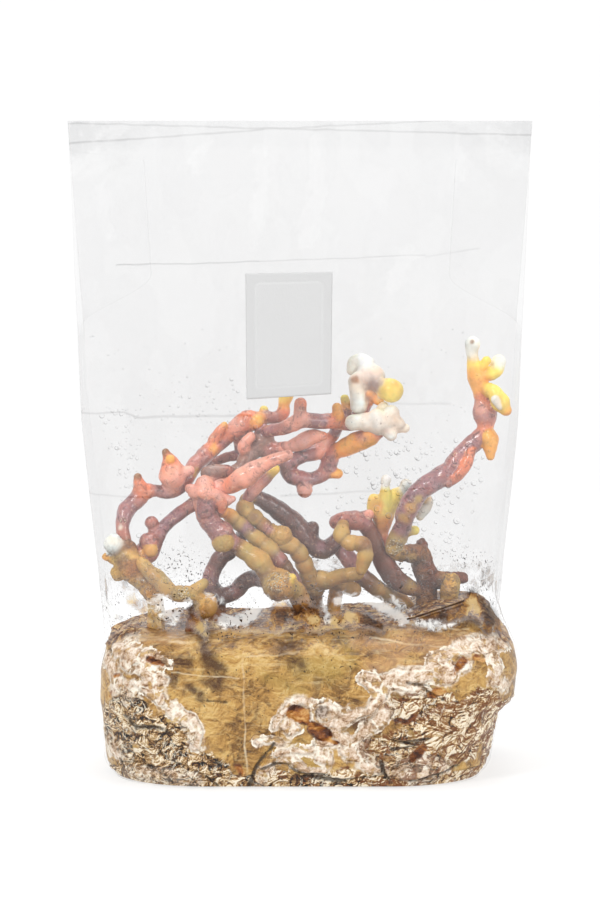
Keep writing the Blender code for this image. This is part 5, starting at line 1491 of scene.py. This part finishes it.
def fused_limbs(limbs):
    """The limbs' skins fused into one mesh, and the samples along all of them: place, radius,
    tone, gloss and the distance travelled."""
    all_points, all_faces, all_samples = [], [], []
    count = 0
    travelled = 0.0
    for limb in limbs:
        samples = spline_samples(limb)
        points, faces = limb_surface(samples)
        all_points.append(points)
        all_faces += [[corner + count for corner in face] for face in faces]
        count += len(points)
        steps = np.linalg.norm(np.diff(samples[:, :3], axis=0), axis=-1)
        along = travelled + np.concatenate([[0.0], np.cumsum(steps)])
        travelled = along[-1] + 40.0
        all_samples.append(np.concatenate([samples, along[:, None]], axis=1))
    mesh = remeshed(np.concatenate(all_points), all_faces)
    relax(mesh, 5)
    return mesh, np.concatenate(all_samples)


def tone_and_gloss(name, points, samples, seed):
    """The tone and gloss of the limb next to each point, with drifting borders, and with the
    antler's tinted patches laid over them."""
    drift = np.stack([swell(points, 6.0, 3, seed=seed + 21 + axis) for axis in range(3)], axis=-1)
    values = nearest_on_limbs(points + 2.2 * drift, samples, 0.25)
    tone = values[:, 4:7]
    gloss = values[:, 7]
    for x, y, z, reach, tint_name in TINTS.get(name, []):
        gap = np.linalg.norm(points - (x, y, z), axis=-1) + 0.9 * reach * drift[:, 0]
        share = 0.85 * smooth(-gap, -1.5 * reach, -0.3 * reach)
        tone = tone + share[:, None] * (linear(TONES[tint_name]) - tone)
        gloss = gloss + share * (GLOSS[tint_name] - gloss)
    return tone, gloss


def growth_joints(name, along, seed):
    """How near each point is to a growth joint, from 0 to 1, and the swelling between joints."""
    line = np.stack([along, np.full_like(along, seed * 7.0), np.zeros_like(along)], axis=-1)
    turn = along / JOINT_SPACING + 0.55 * swell(line, 14.0, 2, seed=seed)
    to_joint = np.abs(turn - np.round(turn)) * JOINT_SPACING
    joint = hump(to_joint, 0.0, 0.9) * (0.35 + 0.65 * lattice_noise(line / 9.0, seed + 3))
    bulge = np.cos(math.pi * np.clip(to_joint / (0.5 * JOINT_SPACING), 0.0, 1.0))
    strength = JOINTED.get(name, 0.25)
    return strength * joint, strength * bulge


def crusted(name, points, seed):
    """How rough each point is, from 0 to 1, and how much of it is a ball of white crust."""
    crust = CRUST.get(name, 0.0)
    patchy = smooth(swell(points, 9.0, 2, seed=seed + 9), 0.25 - crust, 0.75 - crust)
    spots = np.zeros(len(points))
    for x, y, z, reach in CRUST_SPOTS:
        gap = np.linalg.norm(points - (x, y, z), axis=-1)
        spots = np.maximum(spots, smooth(-gap, -reach, 1.5 - reach))
    return np.maximum(crust * patchy, spots), spots


def antler(name, limbs, seed):
    """One antler: fused limbs with growth joints, lumps and crust, and a tone at each point
    that is mottled, darker at its joints, lighter where it faces up and darker where it faces
    down as painted light and shade, and paler high up."""
    mesh, samples = fused_limbs(limbs)
    points = mesh_points(mesh)
    normals = mesh_normals(mesh)
    near = nearest_on_limbs(points, samples)
    radius = near[:, 3]
    joint, bulge = growth_joints(name, near[:, 8], seed)
    rough, spots = crusted(name, points, seed)
    lumps = 0.15 * radius * swell(points, 8.0, 3, seed=seed + 5)
    pores = 0.06 * swell(points, 1.7, 2, seed=seed + 7)
    grit = rough * (0.8 * swell(points, 2.4, 2, seed=seed + 11) + 0.3)
    grit += 1.1 * spots * swell(points, 3.4, 2, seed=seed + 17)
    shift = lumps + pores + grit - radius * (0.09 * joint + 0.05 * bulge)
    set_mesh_points(mesh, points + normals * shift[:, None])
    tone, gloss = tone_and_gloss(name, points, samples, seed)
    tone = tone * (1.0 + 0.42 * swell(points, 7.0, 4, seed=seed + 13)[:, None])
    warmth = 2.2 * swell(points, 10.0, 3, seed=seed + 15)
    tone = tone * WARMER ** warmth[:, None]
    # Painted light and shade: the tone is lighter where the skin faces up and darker where it faces down.
    painted_top_light = smooth(normals[:, 2] - 0.35 * normals[:, 1], -0.9, 1.0)
    high = smooth(points[:, 2], 135.0, 165.0)
    tone *= ((1.0 - 0.45 * joint) * (0.78 + 0.40 * painted_top_light) * (1.0 + 0.07 * high))[:, None]
    point_attribute(mesh, "tone", *np.clip(tone, 0.0, 1.0).T)
    point_attribute(mesh, "skin", gloss, rough, spots)
    shade_smooth(mesh)
    return mesh


def reishi_skin():
    """Lacquered antler skin: tone from the growth, shinier where it has turned to lacquer, with
    pale streaks on the lacquer painted as sheen, granular where it is crusted, and with balls of white
    crust."""
    s = Shader("reishi_skin")
    place = s.place()
    tone = s.attribute("tone")
    gloss = s.attribute("skin", 0)
    crust = s.attribute("skin", 1)
    spot = s.attribute("skin", 2)
    blotch = s.noise(place, 4.0, 4.0, 0.6, 0.8)
    fine = s.noise(place, 0.9, 3.0, 0.6)
    lacquered = s.step(gloss, 0.42, 0.72)
    streak = s.noise(place, 2.2, 4.0, 0.65, 1.2)
    colour = s.blend(s.step(blotch, 0.50, 0.70) * 0.35, tone, tint(0.90, 0.68, 0.50), "SOFT_LIGHT")
    colour = s.blend(s.step(blotch, 0.48, 0.32) * (0.60 * lacquered + 0.10), colour, tint(0.28, 0.14, 0.11))
    colour = s.blend(s.step(streak, 0.42, 0.28) * (0.50 * lacquered + 0.03), colour, tint(0.34, 0.18, 0.12))
    # Painted highlights: pale streaks, strongest on the lacquer, stand in for its sheen.
    colour = s.blend(s.step(streak, 0.57, 0.70) * (0.45 * lacquered + 0.12), colour, tint(0.95, 0.80, 0.66))
    grains = s.step(s.cells(place, 1.3), 0.45, 0.15)
    worn = crust * s.step(s.noise(place, 2.4, 3.0), 0.48, 0.60)
    colour = s.blend(worn * 0.55, colour, tint(0.32, 0.18, 0.09))
    crumbs = s.step(spot, 0.25, 0.7) * s.step(grains + 0.6 * fine, 0.28, 0.62)
    colour = s.blend(crumbs * 0.9, colour, tint(0.97, 0.91, 0.78))
    height = 0.45 * blotch + 0.22 * streak * lacquered + (0.30 - 0.22 * s.step(gloss, 0.05, 0.3)) * fine
    height = height + crust * 0.7 * grains
    return s.finish(s.principled({
        "Base Color": colour, "Roughness": 0.58 - 0.30 * gloss + 0.20 * (blotch - 0.5) + 0.2 * crust,
        "Normal": s.bump(height, 0.0011, 0.8), "Coat Weight": gloss * 0.75 * (1.0 - crust),
        "Coat Roughness": 0.14}))


# Points in each ring of a drop
DROP_SIDES = 10
# Where condensation hangs on the front film: lowest and highest x and z, count, radius
DROPLET_FIELDS = [
    (-116, -86, 156, 200, 130, 0.62), (-86, -56, 104, 134, 60, 0.85), (50, 108, 112, 182, 240, 0.85),
    (14, 66, 136, 176, 90, 0.8), (-112, 112, 92, 240, 420, 0.32), (-112, 112, 86, 112, 500, 0.45),
    (-100, 100, 150, 205, 160, 0.4), (-60, -20, 96, 116, 14, 0.95), (-60, -20, 180, 215, 40, 0.6),
]


def droplet_places():
    """Random middles (x, z) and radii of the drops, field by field, with how tall each is."""
    random = np.random.default_rng(5)
    places = []
    sizes = []
    for x0, x1, z0, z1, count, radius in DROPLET_FIELDS:
        x = random.uniform(x0, x1, count)
        places.append(np.stack([x, random.uniform(z0, z1, count)], axis=-1))
        sizes.append(radius * random.lognormal(0.0, 0.38, count).clip(0.4, 2.2))
    places = np.concatenate(places)
    x, z = np.abs(places[:, 0]), places[:, 1]
    keep = x < np.interp(z, [80.0, 110.0, 190.0, 240.0], [70.0, 84.0, 105.0, 112.0])
    keep &= ~((np.abs(places[:, 0] - PATCH_CENTRE[0]) < 26.0) & (np.abs(z - PATCH_CENTRE[1]) < 36.0))
    sizes = np.concatenate(sizes)[keep]
    return places[keep], sizes, random.uniform(0.85, 1.2, len(sizes))


def droplets():
    """Small domes on the inside of the front film, half as deep as wide: rings round an axis
    that leans with the panel, each as wide as its angle's cosine and as far out as half its
    sine. They carry how near the rim each point is, and how far it faces down."""
    places, sizes, tallness = droplet_places()
    x, z = places[:, 0], places[:, 1]
    depth = np.interp(z, BAG_LEVELS[:, 0], BAG_LEVELS[:, 3])
    edge_share = 1.0 - 0.06 * (np.maximum(np.abs(x) - PANEL_FLAT, 0.0) / 85.0) ** 2
    centre = np.stack([x, -depth * edge_share - 0.05, z], axis=-1)
    out = np.array([0.0, -math.cos(PANEL_LEAN), math.sin(PANEL_LEAN)])
    up = np.array([0.0, math.sin(PANEL_LEAN), math.cos(PANEL_LEAN)])
    across = np.array([1.0, 0.0, 0.0])
    rise = np.radians([0.0, 30.0, 60.0])[:, None, None]
    turn = np.linspace(0.0, 2.0 * math.pi, DROP_SIDES, endpoint=False)
    ring = np.cos(turn)[:, None] * across + np.sin(turn)[:, None] * up
    shape = np.cos(rise) * ring + 0.5 * np.sin(rise) * out
    shape = np.concatenate([shape.reshape(-1, 3), 0.5 * out[None]])
    tip = len(shape) - 1
    last = np.arange(tip - DROP_SIDES, tip)
    tips = np.stack([last, np.roll(last, -1), np.full(DROP_SIDES, tip)], axis=-1)
    stretch = np.stack([np.ones_like(tallness), np.ones_like(tallness), tallness], axis=-1)
    points = centre[:, None] + shape * (sizes[:, None] * stretch)[:, None]
    offsets = (np.arange(len(sizes)) * len(shape))[:, None, None]
    quads = (grid_faces(len(rise), DROP_SIDES) + offsets).reshape(-1, 4).tolist()
    triangles = (tips + offsets).reshape(-1, 3).tolist()
    mesh = mesh_from("droplets", points.reshape(-1, 3), quads + triangles)
    rim = np.concatenate([np.repeat([1.0, 0.5, 0.1], DROP_SIDES), [0.0]])
    # How far each point faces down and left, where the water paints its shade; the other side gets a
    # painted highlight.
    shade = np.concatenate([np.tile(0.5 - 0.5 * np.sin(turn + 0.6), len(rise)), [0.5]])
    point_attribute(mesh, "drop", np.tile(rim, len(sizes)), np.tile(shade, len(sizes)))
    return mesh


def water():
    """Condensation: clear in the middle of a drop; at its rim a painted dark crescent of shade on its lower
    left and a painted highlight on its upper right.
    """
    s = Shader("water")
    rim = s.attribute("drop", 0)
    shade = s.attribute("drop", 1)
    # Painted shade and highlight at the drop's rim.
    colour = s.blend(s.step(shade, 0.75, 0.35), tint(0.22, 0.22, 0.23), tint(0.97, 0.97, 0.97))
    drop = s.principled({"Base Color": colour, "Roughness": 0.06, "IOR": 1.33})
    edge = s.step(rim, 0.25, 0.9) * (0.35 + 0.65 * s.step(shade, 0.35, 0.95))
    return s.film_over(0.02 + 0.8 * edge, drop)


# The floor, in millimetres: how far it reaches, where it bends up and the bend's radius, and
# the top of its wall
FLOOR_REACH = 12000.0
FLOOR_BEND = (1400.0, 500.0)
FLOOR_WALL_TOP = 2900.0
# The lamps: name, place in metres, power in watts and size in metres
LAMPS = [("key", (-0.9, -1.5, 1.5), 21.0, 0.5), ("fill", (1.4, -1.3, 0.6), 9.0, 0.7),
         ("top", (0.1, 0.1, 1.7), 10.0, 0.8)]


def floor_mesh():
    """A floor that runs back flat, bends up in a quarter circle and ends in a wall."""
    bend_start, bend_radius = FLOOR_BEND
    flat = np.linspace(-FLOOR_REACH, bend_start, 37)
    turn = np.linspace(0.0, math.pi / 2.0, 13)
    wall = np.linspace(bend_radius, FLOOR_WALL_TOP, 13)[1:]
    y = np.concatenate([flat[:-1], bend_start + bend_radius * np.sin(turn),
                        np.full(len(wall), bend_start + bend_radius)])
    z = np.concatenate([np.zeros(len(flat) - 1), bend_radius - bend_radius * np.cos(turn), wall]) - 0.05
    x = np.linspace(-FLOOR_REACH, FLOOR_REACH, 21)
    grid = np.stack(np.broadcast_arrays(x[None, :], y[:, None], z[:, None]), axis=-1)
    rows, columns = grid.shape[:2]
    return mesh_from("studio_floor", grid.reshape(-1, 3), grid_faces(rows, columns, closed=False).tolist())


def floor_finish():
    """A pale floor that glows a little, so that it stays white."""
    s = Shader("studio_floor")
    grain = s.noise(s.place(), 400.0, 2.0)
    return s.finish(s.principled({
        "Base Color": s.blend(grain, (0.29, 0.29, 0.29), (0.31, 0.31, 0.31)), "Roughness": 0.9,
        "Emission Color": (1.0, 1.0, 1.0), "Emission Strength": 0.70}))


def studio():
    """A pale floor that sweeps up behind, even air light and three soft lamps."""
    new_object("studio_floor", floor_mesh(), floor_finish())
    world = bpy.data.worlds.new("studio_air")
    world.use_nodes = True
    air = world.node_tree.nodes["Background"]
    air.inputs["Color"].default_value = (1.0, 1.0, 1.0, 1.0)
    air.inputs["Strength"].default_value = 0.55
    bpy.context.scene.world = world
    for name, place, power, size in LAMPS:
        data = bpy.data.lights.new(name, "AREA")
        data.energy = power
        data.size = size
        lamp = bpy.data.objects.new(name, data)
        bpy.context.scene.collection.objects.link(lamp)
        lamp.location = place
        aim = Vector((0.0, 0.0, 0.15)) - Vector(place)
        lamp.rotation_euler = aim.to_track_quat("-Z", "Y").to_euler()


# The camera: focal length and sensor width in millimetres, height in degrees above the
# bag's middle, and the distance and the height it looks at in metres
CAMERA_LENS = 138.7
CAMERA_SENSOR = 36.0
CAMERA_RISE = 5.0
CAMERA_DISTANCE = 1.9
CAMERA_AIM = 0.1697


def camera():
    """The photo's view, from the front and a little above."""
    data = bpy.data.cameras.new("photo_camera")
    data.lens = CAMERA_LENS
    data.sensor_width = CAMERA_SENSOR
    data.clip_end = 20.0
    view = bpy.data.objects.new("photo_camera", data)
    bpy.context.scene.collection.objects.link(view)
    rise = math.radians(CAMERA_RISE)
    view.location = (0.0, -CAMERA_DISTANCE * math.cos(rise), CAMERA_AIM + CAMERA_DISTANCE * math.sin(rise))
    view.rotation_euler = (math.pi / 2.0 - rise, 0.0, 0.0)
    bpy.context.scene.camera = view
    bpy.context.scene.view_settings.view_transform = "Standard"


def dress(name, mesh, material, node_names):
    """Add a finished piece that rides on the part, in place of its CAD nodes."""
    piece = new_object(name, mesh, material)
    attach(piece, "root")
    if node_names:
        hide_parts(*node_names)


camera()
studio()
dress("bag_film", bag_film(), clear_film(), ["grow_bag"])
dress("filter_patch_sheet", filter_patch(), filter_membrane(), ["filter_patch"])
dress("sawdust_block", block_mesh(), colonised_sawdust(), ["substrate_block"])
skin_material = reishi_skin()
for index, (antler_name, antler_limbs) in enumerate(ANTLERS.items()):
    flesh = antler(antler_name, antler_limbs + KNOBS.get(antler_name, []), 100 + 20 * index)
    dress(antler_name + "_flesh", flesh, skin_material, [antler_name])
dress("condensation", droplets(), water(), [])
